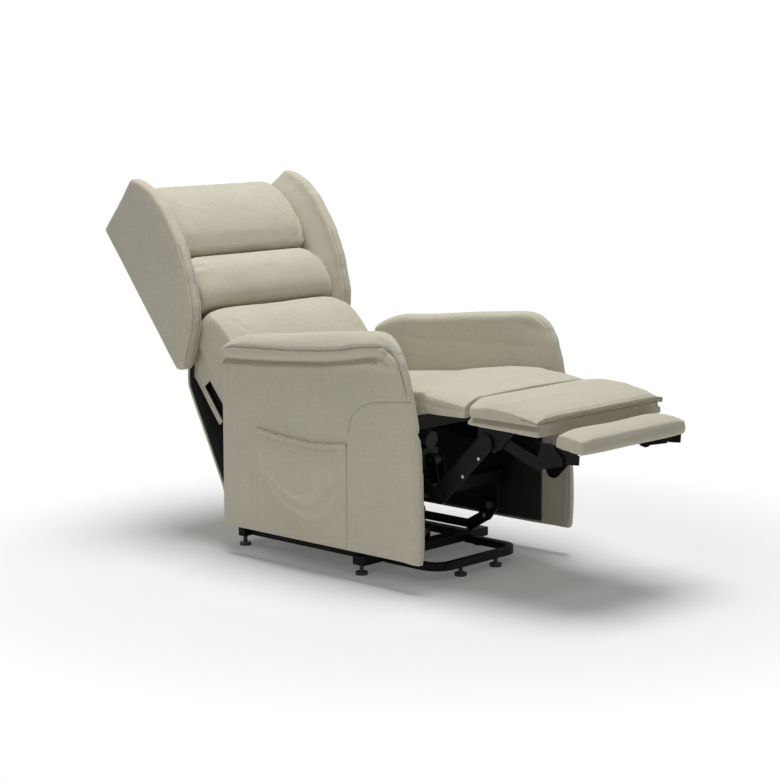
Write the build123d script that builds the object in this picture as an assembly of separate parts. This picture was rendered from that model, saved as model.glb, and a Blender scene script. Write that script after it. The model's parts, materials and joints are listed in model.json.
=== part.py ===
from build123d import *
import math
import os

# Wing-back lift recliner in the reclined pose, legrest out. Millimetres.
# +X points to the sitter's feet, +Y to the sitter's left, +Z up from the floor.
# Lengths count from the rear edge of the arms; the last step moves the origin
# to the middle of the footprint.
ORIGIN_X = 344.5

# Fits
PIN_PLAY = 0.05
LINK_PIN_R = 7.0
SMALL_PIN_R = 6.0
HEAD_R = 11.0
HEAD = 2.6
HEAD_PLAY = 0.2
OPEN_PIVOT_PLAY = 1.1
SOFT_GAP = 0.5
CUT = 1.0

# Floor base: tubes, rails, front loop and glides
TUBE_FOOT = 28.0
TUBE = 25.0
REAR_TUBE_X = -36.0
REAR_TUBE_HALF = 228.0
MIDDLE_TUBE_X = 460.0
MIDDLE_TUBE_DEPTH = 40.0
MIDDLE_TUBE_HALF = 262.0
RAIL_INNER_Y = 176.0
RAIL_WIDTH = 30.0
RAIL_HEIGHT = 22.0
LOOP_FRONT_X = 677.0
LOOP_HALF = 178.0
LOOP_BAR = 21.0
LOOP_TOP = 46.0
LOOP_CORNER = 62.0
GLIDE_R = 17.0
GLIDE_HEIGHT = 9.0
GLIDE_STEM_R = 6.0
REAR_GLIDE_Y = 213.0
MIDDLE_GLIDE_Y = 248.0
FRONT_GLIDE_Y = 74.0

# Lift linkage pivots, as (x, z)
ARM_PIVOT = (80.0, 69.0)
ARM_END = (522.0, 104.0)
LINK_PIVOT = (157.5, 126.2)
LINK_END = (550.0, 140.0)
RISER_Y = (194.0, 200.0)
RISER_MARGIN = 24.0
RISER_FOOT = 30.0
LIFT_ARM_GAP = 2.0
LIFT_ARM_PLATE = 8.0
LIFT_ARM_HEIGHT = 24.0
LIFT_ARM_BEND = (462.0, 69.0)
LIFT_ARM_EYE = 32.0
LIFT_LINK_GAP = 4.0
LIFT_LINK_PLATE = 6.0
LIFT_LINK_WIDTH = 30.0
TORQUE_TUBE_R = 12.0
HANGER_MARGIN = 20.0

# Powered actuators
MOTOR_PIVOT = (457.0, 78.0)
CRANK_LENGTH = 80.0
CRANK_ANGLE = 72.0
BACK_MOTOR_PIVOT = (505.0, 290.0)
BACK_LEVER_LENGTH = 90.0
BACK_LEVER_ANGLE = -101.6
LEVER_WIDTH = 30.0
LEVER_PLATE = 10.0
LEVER_END = 20.0
LEVER_HUB = 8.0
SLOT_RADIAL = 5.0
SLOT_SIDE = 1.0
EAR_GAP = 2.0
EAR_PLATE = 5.0
EYE_R = 14.0
EYE_WIDTH = 24.0
EYE_NECK = 4.0
EYE_SHANK = 6.0
GEARBOX = (77.0, 64.0, 58.0)
GEARBOX_ROUND = 8.0
MOTOR_CAN_R = 25.0
MOTOR_CAN_LENGTH = 105.0
MOTOR_CAN_SUNK = 2.0
ACTUATOR_TUBE = 34.0
ACTUATOR_TUBE_ROUND = 5.0
TUBE_SUNK = 4.0
ROD_R = 10.0
ROD_PLAY = 0.3
ROD_IN_TUBE = 130.0
FORK_LENGTH = 40.0
FORK_BASE = 14.0
FORK_GAP = 1.0
FORK_PLATE = 6.0
FORK_HEIGHT = 26.0
LIFT_ROD_SHOWING = 75.0
BACK_ROD_SHOWING = 110.0

# Steel seat frame
FRAME_HALF = 254.0
SIDE_PLATE = 4.0
SIDE_PLATE_LUG = 31.0
SIDE_PLATE_HEEL = 14.0
SIDE_PLATE_WAIST = 42.0
SIDE_PLATE_REAR_FOOT = (100.0, 346.0)
HINGE_BOSS_R = 28.0
FRONT_TUBE_LUG = 25.0
BACK_HINGE = (60.0, 440.0)
BACK_HINGE_TUBE_R = 10.0
FRONT_TUBE = (520.5, 214.5)
FRONT_TUBE_SIZE = 35.0
REAR_CHAIR_TUBE = (240.0, 372.0)
REAR_CHAIR_TUBE_SIZE = 28.0
ARM_BRACKET_X = (170.0, 500.0)
ARM_BRACKET_Z = (378.0, 400.0)
ARM_BRACKET_SIZE = (40.0, 34.0)
REAR_RAIL_X = (-4.0, 14.0)
REAR_RAIL_Z = (88.0, 112.0)
CONTROL_BOX = (90.0, 130.0, 38.0)
CONTROL_BOX_Y = 120.0

# Seat deck and cushion
DECK_REAR = (122.0, 402.0)
DECK_FRONT = (605.0, 446.0)
DECK_SETBACK = 8.0
SEAT_RAIL_WIDTH = 24.0
SEAT_RAIL_HEIGHT = 18.0
SEAT_CROSS_RAIL = (20.0, 32.0)
STRAP_COUNT = 6
STRAP_WIDTH = 56.0
STRAP = 4.0
SEAT_SIDE_GAP = 1.5
SEAT_REAR_X = 92.0
SEAT_FRONT_X = 700.0
SEAT_FRONT_FOOT = 481.0
SEAT_FRONT_TOP = 528.0
SEAT_CROWN = (430.0, 528.0)
SEAT_REAR_TOP = 458.0
SEAT_FRONT_LIP = 46.0
SEAT_REAR_SLOPE = 16.0
SEAT_DRAW_RUN = 200.0
SEAT_EDGE = (0.78, 6.0)
SEAT_SHOULDER = (0.97, 1.0)
SHOULDER_SHARE = 0.84

# Arms
ARM_LENGTH = 733.0
ARM_FOOT = 82.0
ARM_FRONT_BELLY = (738.0, 260.0)
ARM_FRONT_SHOULDER = (709.0, 517.0)
ARM_FRONT_TOP = (692.0, 596.0)
ARM_REAR_TOP = 574.0
ARM_PAD_FOOT = 432.0
ARM_PAD_GAP = 7.0
ARM_PAD_THICK = 30.0
ARM_THICK = 36.0
ARM_ROUND = 9.0
ARM_BOARD_EDGE = 16.0
ARM_BOARD_SKIN = 9.0
ARM_BOARD_BAR = 70.0
ROLL_REAR_X = 2.0
ROLL_REAR_TOP = 628.0
ROLL_CROWN = (616.0, 683.0)
ROLL_NOSE = (674.0, 652.0)
ROLL_OVERHANG = 6.0
ROLL_ROUND = 15.0

# Pocket on the outside of the right arm
POCKET_X = (143.0, 486.0)
POCKET_Z = (92.0, 376.0)
POCKET_CLOTH = 2.5
POCKET_HEM = 6.0
POCKET_DEPTH = (4.0, 9.5, 13.0, 11.0)

# Backrest, in its own plane: (w forward, u up) from the back hinge
RECLINE = 38.7
BACK_REAR = -147.0
BACK_FRAME_FRONT = -92.0
BACK_PANEL = 7.0
BACK_RAIL_U = (70.0, 690.0)
BACK_RAIL_SETBACK = 9.0
BACK_RAIL_WIDTH = 24.0
BACK_CROSS_U = (70.0, 380.0, 650.0)
BACK_CROSS_HEIGHT = 40.0
BACK_BRACKET_PLATE = 5.0
BACK_BRACKET_TOP_U = 200.0
BACK_BRACKET_EDGE = 20.0
BACK_BRACKET_CLEAR = 6.0
BACK_BRACKET_HEEL = (-110.0, -8.0)
BACK_STRAP_COUNT = 8
BACK_STRAP_WIDTH = 50.0
LOWER_U = (24.0, 309.0)
LUMBAR_U = (314.5, 487.0)
HEAD_U = (492.5, 727.0)
BACK_CREASE_W = 4.0
LOWER_BULGE_W = 42.0
LUMBAR_BULGE_W = 38.0
HEAD_BULGE_W = 40.0
HEAD_TOP_W = 16.0
HEAD_SETBACK = 5.0
HEAD_CAP = 20.0
TUCK = 12.0
BACK_SHOULDER = (0.985, 0.997)
BACK_EDGE = (0.85, 0.958)
LOWER_WIDER = 3.0
WING_GAP = 4.0
WING_THICK = 65.0
WING_ROUND = 9.0
WING_FOOT_U = 192.0
WING_REAR_TOP_U = 708.0
WING_PEAK = (32.0, 748.0)
WING_BROW = (82.0, 674.0)
WING_BELLY = (106.0, 570.0)
WING_FRONT = (103.0, 435.0)
WING_CHEEK = (66.0, 304.0)
WING_JAW = (40.0, 278.0)
WING_CHIN = (0.0, 246.0)
WING_HEEL = (38.0, 16.0)
WING_RAIL_GAP = 25.0
REAR_FLAP_WIDER = 46.0
REAR_FLAP_KNEE = (-178.0, 438.0)
REAR_FLAP_CLOTH = 3.5
REAR_FLAP_GAP = 2.5

# Legrest linkage, legrest and foot flap
LINK_PLATE = 5.0
LINK_GAP = 3.5
LOWER_LINK_PIVOT = (560.0, 330.0)
KNEE_PIVOT = (735.0, 258.0)
LEGREST_PIVOT = (890.0, 415.0)
FLAP_PIVOT = (1078.0, 425.0)
LEG_BOSS = 23.0
LOWER_LINK_WIDTH = 34.0
UPPER_LINK_WIDTH = 48.0
BOARD_X = (848.0, 1081.0)
BOARD_TOP = 490.0
BOARD_FOOT = (461.0, 454.0)
BOARD_WIDER = 8.0
PAD_WIDER = 15.0
PAD_FRONT_X = 1091.0
PAD_EDGE_TOP = 521.0
PAD_CROWN_TOP = 534.0
PAD_SHOULDER = (0.995, 0.96)
PAD_EDGE = (0.965, 0.62)
PAD_EDGE_ROUND = 7.0
PAD_OVERHANG = 2.0
BRIDGE_X = (702.3, 844.0)
BRIDGE_FOOT = 483.0
BRIDGE_WIDER = 8.0
BRIDGE_EDGE = (0.97, 0.72)
LEGREST_TUBE = (905.0, 437.0)
LEGREST_TUBE_R = 9.0
STRUT_REAR = (934.0, 424.0)
STRUT_FRONT = (1058.0, 378.0)
STRUT_WIDTH = 30.0
FLAP_BOSS = 14.0
FLAP_PAD_CORNER = (1109.0, 428.0)
FLAP_PAD_TILT = 10.0
FLAP_PAD_LENGTH = 82.0
FLAP_PAD_THICK = 37.0
FLAP_PAD_CROWN = 3.0
FLAP_SHOULDER = (0.995, 0.99)
FLAP_EDGE = (0.9, 0.82)


def block(x, y, z):
    """A box between pairs of limits."""
    size = Box(x[1] - x[0], y[1] - y[0], z[1] - z[0])
    return Pos(sum(x) / 2, sum(y) / 2, sum(z) / 2) * size


def around(middle, size):
    """Limits of a given size about a middle value."""
    return (middle - size / 2, middle + size / 2)


def face_at(steps, y):
    """Flat face across the chair at y: points join by lines, (middle, end) pairs by arcs."""
    here = steps[0]
    edges = []
    for step in steps[1:]:
        if isinstance(step[0], tuple):
            middle, end = step
            edges.append(ThreePointArc((here[0], y, here[1]), (middle[0], y, middle[1]), (end[0], y, end[1])))
        else:
            end = step
            edges.append(Line((here[0], y, here[1]), (end[0], y, end[1])))
        here = end
    if math.dist(here, steps[0]) > 1e-6:
        edges.append(Line((here[0], y, here[1]), (steps[0][0], y, steps[0][1])))
    return make_face(edges)


def plate(steps, y):
    """A flat plate with an (x, z) outline, between two y limits."""
    return extrude(face_at(steps, y[0]), amount=y[1] - y[0], dir=(0, 1, 0))


def pin(place, y, radius):
    """A round pin across the chair at an (x, z) place."""
    return Pos(place[0], sum(y) / 2, place[1]) * Rot(90, 0, 0) * Cylinder(radius, y[1] - y[0])


def bar(start, end, y, width):
    """A round-ended flat bar between two (x, z) places."""
    length = math.dist(start, end)
    along = ((end[0] - start[0]) / length, 0, (end[1] - start[1]) / length)
    middle = ((start[0] + end[0]) / 2, y[1], (start[1] + end[1]) / 2)
    face = Plane(origin=middle, x_dir=along, z_dir=(0, -1, 0)) * SlotCenterToCenter(length, width)
    return extrude(face, amount=y[1] - y[0])


def wider(y, extra):
    """Limits opened by the same amount both ways."""
    return (y[0] - extra, y[1] + extra)


def both_sides(shape):
    """The left-hand piece with its right-hand twin."""
    return shape + mirror(shape, about=Plane.XZ)


def polar(centre, length, angle):
    """A place at a distance and an angle, measured from +X towards +Z."""
    turn = math.radians(angle)
    return (centre[0] + length * math.cos(turn), centre[1] + length * math.sin(turn))


def mapped(steps, move):
    """The same outline with every point moved."""
    out = []
    for step in steps:
        if isinstance(step[0], tuple):
            out.append((move(step[0]), move(step[1])))
        else:
            out.append(move(step))
    return out


def inset(steps, amount, middle):
    """An outline drawn in towards its middle by the same amount along both axes."""
    def move(p):
        dx = math.copysign(min(amount, abs(p[0] - middle[0])), p[0] - middle[0])
        dz = math.copysign(min(amount, abs(p[1] - middle[1])), p[1] - middle[1])
        return (p[0] - dx, p[1] - dz)
    return mapped(steps, move)


def shrunk(steps, anchor, across, up):
    """An outline shrunk towards an anchor that stays put."""
    def move(p):
        return (anchor[0] + (p[0] - anchor[0]) * across, anchor[1] + (p[1] - anchor[1]) * up)
    return mapped(steps, move)


def padded(stations):
    """A soft form lofted through (y, outline) stations."""
    return loft([face_at(steps, y) for y, steps in stations])


def pillow(full, half, anchor, shoulder, edge):
    """A cushion across the chair, full in the middle and drawn in at the ends."""
    near = shrunk(full, anchor, *shoulder)
    end = shrunk(full, anchor, *edge)
    inner = SHOULDER_SHARE * half
    return padded([(-half, end), (-inner, near), (0, full), (inner, near), (half, end)])


# Layers outwards from the side plates
arm_pad_inner = FRAME_HALF + SIDE_PLATE + ARM_PAD_GAP
arm_inner = arm_pad_inner + ARM_PAD_THICK
arm_outer = arm_inner + ARM_THICK
wing_inner = FRAME_HALF + SIDE_PLATE + WING_GAP
wing_outer = wing_inner + WING_THICK
board_half = FRAME_HALF + BOARD_WIDER
rear_flap_half = FRAME_HALF + REAR_FLAP_WIDER

# Layers inwards from the side plates
side_plate_y = (FRAME_HALF, FRAME_HALF + SIDE_PLATE)
lower_link_y = (FRAME_HALF - LINK_GAP - LINK_PLATE, FRAME_HALF - LINK_GAP)
upper_link_y = (lower_link_y[0] - LINK_GAP - LINK_PLATE, lower_link_y[0] - LINK_GAP)
bracket_y = (upper_link_y[0] - LINK_GAP - LINK_PLATE, upper_link_y[0] - LINK_GAP)
strut_y = (bracket_y[0] - LINK_PLATE, bracket_y[0])
flap_bracket_y = (strut_y[0] - LINK_GAP - LINK_PLATE, strut_y[0] - LINK_GAP)
back_rail_y = (FRAME_HALF - BACK_RAIL_SETBACK - BACK_RAIL_WIDTH, FRAME_HALF - BACK_RAIL_SETBACK)
back_bracket_y = (back_rail_y[1], back_rail_y[1] + BACK_BRACKET_PLATE)
lift_arm_y = (RISER_Y[1] + LIFT_ARM_GAP, RISER_Y[1] + LIFT_ARM_GAP + LIFT_ARM_PLATE)
lift_link_y = (RISER_Y[0] - LIFT_LINK_GAP - LIFT_LINK_PLATE, RISER_Y[0] - LIFT_LINK_GAP)
ear_y = (EYE_WIDTH / 2 + EAR_GAP, EYE_WIDTH / 2 + EAR_GAP + EAR_PLATE)
lever_y = (-LEVER_PLATE / 2, LEVER_PLATE / 2)
tube_top = TUBE_FOOT + TUBE
middle_tube_x = around(MIDDLE_TUBE_X, MIDDLE_TUBE_DEPTH)

# The backrest's own plane, laid back about the hinge
back_plane = Pos(BACK_HINGE[0], 0, BACK_HINGE[1]) * Rot(0, -RECLINE, 0)


def back_place(w, u):
    """The (x, z) place of a point in the backrest's plane."""
    turn = math.radians(RECLINE)
    x = BACK_HINGE[0] + w * math.cos(turn) - u * math.sin(turn)
    return (x, BACK_HINGE[1] + w * math.sin(turn) + u * math.cos(turn))


def deck_height(x):
    """Height of the seat deck under the cushion."""
    slope = (DECK_FRONT[1] - DECK_REAR[1]) / (DECK_FRONT[0] - DECK_REAR[0])
    return DECK_REAR[1] + slope * (x - DECK_REAR[0])


def board_under(x):
    """Height of the legrest board's underside."""
    share = (x - BOARD_X[0]) / (BOARD_X[1] - BOARD_X[0])
    return BOARD_FOOT[0] + share * (BOARD_FOOT[1] - BOARD_FOOT[0])


nodes = {}

# Floor base
tube_z = (TUBE_FOOT, tube_top)
nodes["base_rear_tube"] = block(around(REAR_TUBE_X, TUBE), (-REAR_TUBE_HALF, REAR_TUBE_HALF), tube_z)
nodes["base_middle_tube"] = block(middle_tube_x, (-MIDDLE_TUBE_HALF, MIDDLE_TUBE_HALF), tube_z)
rail_x = (REAR_TUBE_X + TUBE / 2, middle_tube_x[0])
rail_z = (tube_top - RAIL_HEIGHT, tube_top)
rail_y = (RAIL_INNER_Y, RAIL_INNER_Y + RAIL_WIDTH)
nodes["base_side_rails"] = both_sides(block(rail_x, rail_y, rail_z))


def loop_outline(front, half, corner):
    """Front loop outline in plan, open at the middle tube."""
    back = middle_tube_x[1]
    bend = corner * (1 - math.sqrt(0.5))
    line_a = Line((back, -half), (front - corner, -half))
    turn_a = ThreePointArc((front - corner, -half), (front - bend, bend - half), (front, corner - half))
    line_b = Line((front, corner - half), (front, half - corner))
    turn_b = ThreePointArc((front, half - corner), (front - bend, half - bend), (front - corner, half))
    line_c = Line((front - corner, half), (back, half))
    line_d = Line((back, half), (back, -half))
    return make_face([line_a, turn_a, line_b, turn_b, line_c, line_d])


loop_face = loop_outline(LOOP_FRONT_X, LOOP_HALF, LOOP_CORNER)
loop_face -= loop_outline(LOOP_FRONT_X - LOOP_BAR, LOOP_HALF - LOOP_BAR, LOOP_CORNER - LOOP_BAR)
nodes["base_front_loop"] = Pos(0, 0, LOOP_TOP - LOOP_BAR) * extrude(loop_face, amount=LOOP_BAR)


def glide(x, y, top):
    """A round floor glide on a stem that reaches its tube."""
    foot = Pos(x, y, GLIDE_HEIGHT / 2) * Cylinder(GLIDE_R, GLIDE_HEIGHT)
    stem = Pos(x, y, (GLIDE_HEIGHT + top) / 2) * Cylinder(GLIDE_STEM_R, top - GLIDE_HEIGHT)
    return foot + stem


glides = both_sides(glide(REAR_TUBE_X, REAR_GLIDE_Y, TUBE_FOOT))
glides += both_sides(glide(MIDDLE_TUBE_X, MIDDLE_GLIDE_Y, TUBE_FOOT))
glides += both_sides(glide(LOOP_FRONT_X - LOOP_BAR / 2, FRONT_GLIDE_Y, LOOP_TOP - LOOP_BAR))
nodes["glide_feet"] = glides

riser_outline = [
    (ARM_PIVOT[0] - RISER_MARGIN, tube_top),
    (LINK_PIVOT[0] + RISER_FOOT, tube_top),
    (LINK_PIVOT[0] + RISER_MARGIN, LINK_PIVOT[1]),
    (LINK_PIVOT[0] + RISER_MARGIN / 2, LINK_PIVOT[1] + RISER_MARGIN),
    (LINK_PIVOT[0] - RISER_MARGIN / 2, LINK_PIVOT[1] + RISER_MARGIN),
    (ARM_PIVOT[0] - RISER_MARGIN, ARM_PIVOT[1] + RISER_MARGIN),
]
riser = plate(riser_outline, RISER_Y)
riser -= pin(ARM_PIVOT, wider(RISER_Y, CUT), TORQUE_TUBE_R + PIN_PLAY)
riser -= pin(LINK_PIVOT, wider(RISER_Y, CUT), SMALL_PIN_R)
nodes["base_risers"] = both_sides(riser)

ear_half = EYE_R + EYE_NECK
ear = plate(
    [
        (MOTOR_PIVOT[0] - ear_half, tube_top),
        (MOTOR_PIVOT[0] + ear_half, tube_top),
        (MOTOR_PIVOT[0] + EYE_R, MOTOR_PIVOT[1] + EYE_R),
        (MOTOR_PIVOT[0] - EYE_R, MOTOR_PIVOT[1] + EYE_R),
    ],
    ear_y,
)
ear -= pin(MOTOR_PIVOT, wider(ear_y, CUT), SMALL_PIN_R)
nodes["lift_motor_bracket"] = both_sides(ear)


def headed(place, shank, radius, head_y):
    """A pin with a flat head between two further limits."""
    return pin(place, shank, radius) + pin(place, head_y, HEAD_R)


link_pin_shank = (lift_link_y[0] - HEAD_PLAY, RISER_Y[1])
link_pin_head = (lift_link_y[0] - HEAD_PLAY - HEAD, lift_link_y[0] - HEAD_PLAY)
base_pins = both_sides(headed(LINK_PIVOT, link_pin_shank, SMALL_PIN_R, link_pin_head))
base_pins += pin(MOTOR_PIVOT, (-ear_y[1], ear_y[1]), SMALL_PIN_R)
nodes["base_pivot_pins"] = base_pins

# Lift arms with their torque tube and crank
lift_arm = bar(ARM_PIVOT, LIFT_ARM_BEND, lift_arm_y, LIFT_ARM_HEIGHT)
lift_arm += bar(LIFT_ARM_BEND, ARM_END, lift_arm_y, LIFT_ARM_EYE)
lift_arm -= pin(ARM_END, wider(lift_arm_y, CUT), LINK_PIN_R + PIN_PLAY)
nodes["lift_arms"] = both_sides(lift_arm)
nodes["lift_torque_tube"] = pin(ARM_PIVOT, (-lift_arm_y[0], lift_arm_y[0]), TORQUE_TUBE_R)


def slotted_lever(centre, end, hub_r):
    """A lever on a shaft, with a slot near its end for a rod pin."""
    length = math.dist(centre, end)
    along = ((end[0] - centre[0]) / length, (end[1] - centre[1]) / length)
    past = LEVER_END - LEVER_WIDTH / 2
    tip = (end[0] + along[0] * past, end[1] + along[1] * past)
    lever = bar(centre, tip, lever_y, LEVER_WIDTH) + pin(centre, lever_y, hub_r + LEVER_HUB)
    lever -= pin(centre, wider(lever_y, CUT), hub_r)
    inner = (end[0] - along[0] * SLOT_RADIAL, end[1] - along[1] * SLOT_RADIAL)
    outer = (end[0] + along[0] * SLOT_RADIAL, end[1] + along[1] * SLOT_RADIAL)
    return lever - bar(inner, outer, wider(lever_y, CUT), 2 * (SMALL_PIN_R + SLOT_SIDE))


crank_pin = polar(ARM_PIVOT, CRANK_LENGTH, CRANK_ANGLE)
nodes["lift_crank"] = slotted_lever(ARM_PIVOT, crank_pin, TORQUE_TUBE_R)

lift_link = bar(LINK_PIVOT, LINK_END, lift_link_y, LIFT_LINK_WIDTH)
lift_link -= pin(LINK_PIVOT, wider(lift_link_y, CUT), SMALL_PIN_R + PIN_PLAY)
lift_link -= pin(LINK_END, wider(lift_link_y, CUT), SMALL_PIN_R + OPEN_PIVOT_PLAY)
nodes["lift_links"] = both_sides(lift_link)


def actuator(pivot, rod_pin, showing):
    """A motor with its gearbox and tube, and its rod with a forked end."""
    reach = math.dist(pivot, rod_pin)
    tube_end = reach - showing
    rise = math.degrees(math.atan2(rod_pin[1] - pivot[1], pivot[0] - rod_pin[0]))
    lie = Pos(pivot[0], 0, pivot[1]) * Rot(0, rise, 0) * Rot(0, 0, 180)
    eye = pin((0, 0), around(0, EYE_WIDTH), EYE_R)
    eye += block((0, EYE_R + EYE_SHANK), around(0, EYE_WIDTH), (-EYE_R, EYE_R))
    box_start = EYE_R + EYE_NECK
    box_end = box_start + GEARBOX[0]
    gearbox = block((box_start, box_end), around(0, GEARBOX[1]), around(0, GEARBOX[2]))
    gearbox = fillet(gearbox.edges().filter_by(Axis.X), GEARBOX_ROUND)
    can_z = GEARBOX[2] / 2 + MOTOR_CAN_R - MOTOR_CAN_SUNK
    can_place = Pos(box_start + MOTOR_CAN_LENGTH / 2, 0, can_z) * Rot(0, 90, 0)
    can = can_place * Cylinder(MOTOR_CAN_R, MOTOR_CAN_LENGTH)
    tube = block((box_end - TUBE_SUNK, tube_end), around(0, ACTUATOR_TUBE), around(0, ACTUATOR_TUBE))
    tube = fillet(tube.edges().filter_by(Axis.X), ACTUATOR_TUBE_ROUND)
    bore_start = box_end + TUBE_SUNK
    bore_length = tube_end + CUT - bore_start
    bore = Pos(bore_start + bore_length / 2, 0, 0) * Rot(0, 90, 0) * Cylinder(ROD_R + ROD_PLAY, bore_length)
    motor = eye + gearbox + can + tube - bore
    motor -= pin((0, 0), around(0, EYE_WIDTH + 2 * CUT), SMALL_PIN_R + PIN_PLAY)
    rod_start = tube_end - ROD_IN_TUBE
    rod_length = reach - FORK_LENGTH + FORK_BASE / 2 - rod_start
    rod = Pos(rod_start + rod_length / 2, 0, 0) * Rot(0, 90, 0) * Cylinder(ROD_R, rod_length)
    fork_y = (LEVER_PLATE / 2 + FORK_GAP, LEVER_PLATE / 2 + FORK_GAP + FORK_PLATE)
    fork_z = around(0, FORK_HEIGHT)
    fork = block((reach - FORK_LENGTH, reach - FORK_LENGTH + FORK_BASE), (-fork_y[1], fork_y[1]), fork_z)
    fork += both_sides(block((reach - FORK_LENGTH, reach + FORK_HEIGHT / 2), fork_y, fork_z))
    fork += pin((reach, 0), (-fork_y[1], fork_y[1]), SMALL_PIN_R)
    return lie * motor, lie * (rod + fork)


nodes["lift_motor"], nodes["lift_rod"] = actuator(MOTOR_PIVOT, crank_pin, LIFT_ROD_SHOWING)

# Steel seat frame
plate_front_x = LOWER_LINK_PIVOT[0] + SIDE_PLATE_LUG
plate_rear_x = DECK_REAR[0] - SIDE_PLATE_HEEL
side_plate = plate(
    [
        (BACK_HINGE[0] - HINGE_BOSS_R, BACK_HINGE[1]),
        (BACK_HINGE[0] + HINGE_BOSS_R, BACK_HINGE[1]),
        (plate_rear_x, deck_height(plate_rear_x) - STRAP),
        (plate_front_x, deck_height(plate_front_x) - STRAP),
        (plate_front_x, LOWER_LINK_PIVOT[1] - SIDE_PLATE_LUG),
        (FRONT_TUBE[0] + FRONT_TUBE_LUG, FRONT_TUBE[1] - FRONT_TUBE_LUG),
        (FRONT_TUBE[0] - FRONT_TUBE_LUG, FRONT_TUBE[1] - FRONT_TUBE_LUG),
        (FRONT_TUBE[0] - SIDE_PLATE_WAIST, LOWER_LINK_PIVOT[1] - SIDE_PLATE_LUG),
        SIDE_PLATE_REAR_FOOT,
    ],
    side_plate_y,
)
side_plate += pin(BACK_HINGE, side_plate_y, HINGE_BOSS_R)
side_plate -= pin(BACK_HINGE, wider(side_plate_y, CUT), BACK_HINGE_TUBE_R + PIN_PLAY)
side_plate -= pin(LOWER_LINK_PIVOT, wider(side_plate_y, CUT), LINK_PIN_R)
nodes["side_plates"] = both_sides(side_plate)
front_tube_z = around(FRONT_TUBE[1], FRONT_TUBE_SIZE)
front_tube_x = around(FRONT_TUBE[0], FRONT_TUBE_SIZE)
nodes["front_cross_tube"] = block(front_tube_x, (-FRAME_HALF, FRAME_HALF), front_tube_z)
rear_tube_x = around(REAR_CHAIR_TUBE[0], REAR_CHAIR_TUBE_SIZE)
rear_tube_z = around(REAR_CHAIR_TUBE[1], REAR_CHAIR_TUBE_SIZE)
nodes["rear_cross_tube"] = block(rear_tube_x, (-FRAME_HALF, FRAME_HALF), rear_tube_z)

hanger = plate(
    [
        (ARM_END[0] - HANGER_MARGIN, front_tube_z[0]),
        (LINK_END[0] + HANGER_MARGIN, front_tube_z[0]),
        (LINK_END[0] + HANGER_MARGIN, LINK_END[1] - HANGER_MARGIN / 2),
        (ARM_END[0] + HANGER_MARGIN, ARM_END[1] - HANGER_MARGIN / 2),
        (ARM_END[0], ARM_END[1] - HANGER_MARGIN),
        (ARM_END[0] - HANGER_MARGIN, ARM_END[1] - HANGER_MARGIN / 2),
    ],
    RISER_Y,
)
hanger -= pin(ARM_END, wider(RISER_Y, CUT), LINK_PIN_R)
hanger -= pin(LINK_END, wider(RISER_Y, CUT), SMALL_PIN_R)
nodes["hanging_brackets"] = both_sides(hanger)

back_ear = plate(
    [
        (front_tube_x[0], front_tube_z[1]),
        (front_tube_x[1], front_tube_z[1]),
        (BACK_MOTOR_PIVOT[0] + EYE_R, BACK_MOTOR_PIVOT[1] + EYE_R),
        (BACK_MOTOR_PIVOT[0] - EYE_R, BACK_MOTOR_PIVOT[1] + EYE_R),
        (BACK_MOTOR_PIVOT[0] - EYE_R, BACK_MOTOR_PIVOT[1] - EYE_R),
    ],
    ear_y,
)
back_ear -= pin(BACK_MOTOR_PIVOT, wider(ear_y, CUT), SMALL_PIN_R)
nodes["back_motor_bracket"] = both_sides(back_ear)

arm_pin_head = (lift_arm_y[1] + HEAD_PLAY, lift_arm_y[1] + HEAD_PLAY + HEAD)
frame_pins = headed(ARM_END, (RISER_Y[0], arm_pin_head[0]), LINK_PIN_R, arm_pin_head)
frame_pins += headed(LINK_END, link_pin_shank, SMALL_PIN_R, link_pin_head)
knee_head = (lower_link_y[0] - HEAD_PLAY - HEAD, lower_link_y[0] - HEAD_PLAY)
outer_head = (side_plate_y[1], side_plate_y[1] + HEAD)
leg_pin = headed(LOWER_LINK_PIVOT, (knee_head[1], outer_head[0]), LINK_PIN_R, knee_head)
frame_pins += leg_pin + pin(LOWER_LINK_PIVOT, outer_head, HEAD_R)
frame_pins = both_sides(frame_pins)
frame_pins += pin(BACK_MOTOR_PIVOT, (-ear_y[1], ear_y[1]), SMALL_PIN_R)
nodes["frame_pivot_pins"] = frame_pins

# Seat deck: rails and elastic straps under the cushion, then the cushion
deck_length = math.dist(DECK_REAR, DECK_FRONT) - DECK_SETBACK
deck_angle = math.degrees(math.atan2(DECK_FRONT[1] - DECK_REAR[1], DECK_FRONT[0] - DECK_REAR[0]))
deck_plane = Pos(DECK_REAR[0], 0, DECK_REAR[1]) * Rot(0, -deck_angle, 0)
seat_rail_y = (FRAME_HALF - SEAT_RAIL_WIDTH, FRAME_HALF)
seat_rail_z = (-STRAP - SEAT_RAIL_HEIGHT, -STRAP)
nodes["seat_side_rails"] = deck_plane * both_sides(block((0, deck_length), seat_rail_y, seat_rail_z))
cross_z = (-STRAP - SEAT_CROSS_RAIL[1], -STRAP)
cross_y = (-seat_rail_y[0], seat_rail_y[0])
rear_cross = block((0, SEAT_CROSS_RAIL[0]), cross_y, seat_rail_z)
front_cross = block((deck_length - SEAT_CROSS_RAIL[0], deck_length), cross_y, cross_z)
nodes["seat_cross_rails"] = deck_plane * (rear_cross + front_cross)
strap_pitch = (deck_length - STRAP_WIDTH) / (STRAP_COUNT - 1)
straps = Part()
for index in range(STRAP_COUNT):
    strap_x = (index * strap_pitch, index * strap_pitch + STRAP_WIDTH)
    straps += block(strap_x, (STRAP - FRAME_HALF, FRAME_HALF - STRAP), (-STRAP, 0))
nodes["seat_webbing"] = deck_plane * straps
seat_half = FRAME_HALF - SEAT_SIDE_GAP
seat_rear_foot = deck_height(SEAT_REAR_X) + SOFT_GAP
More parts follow.
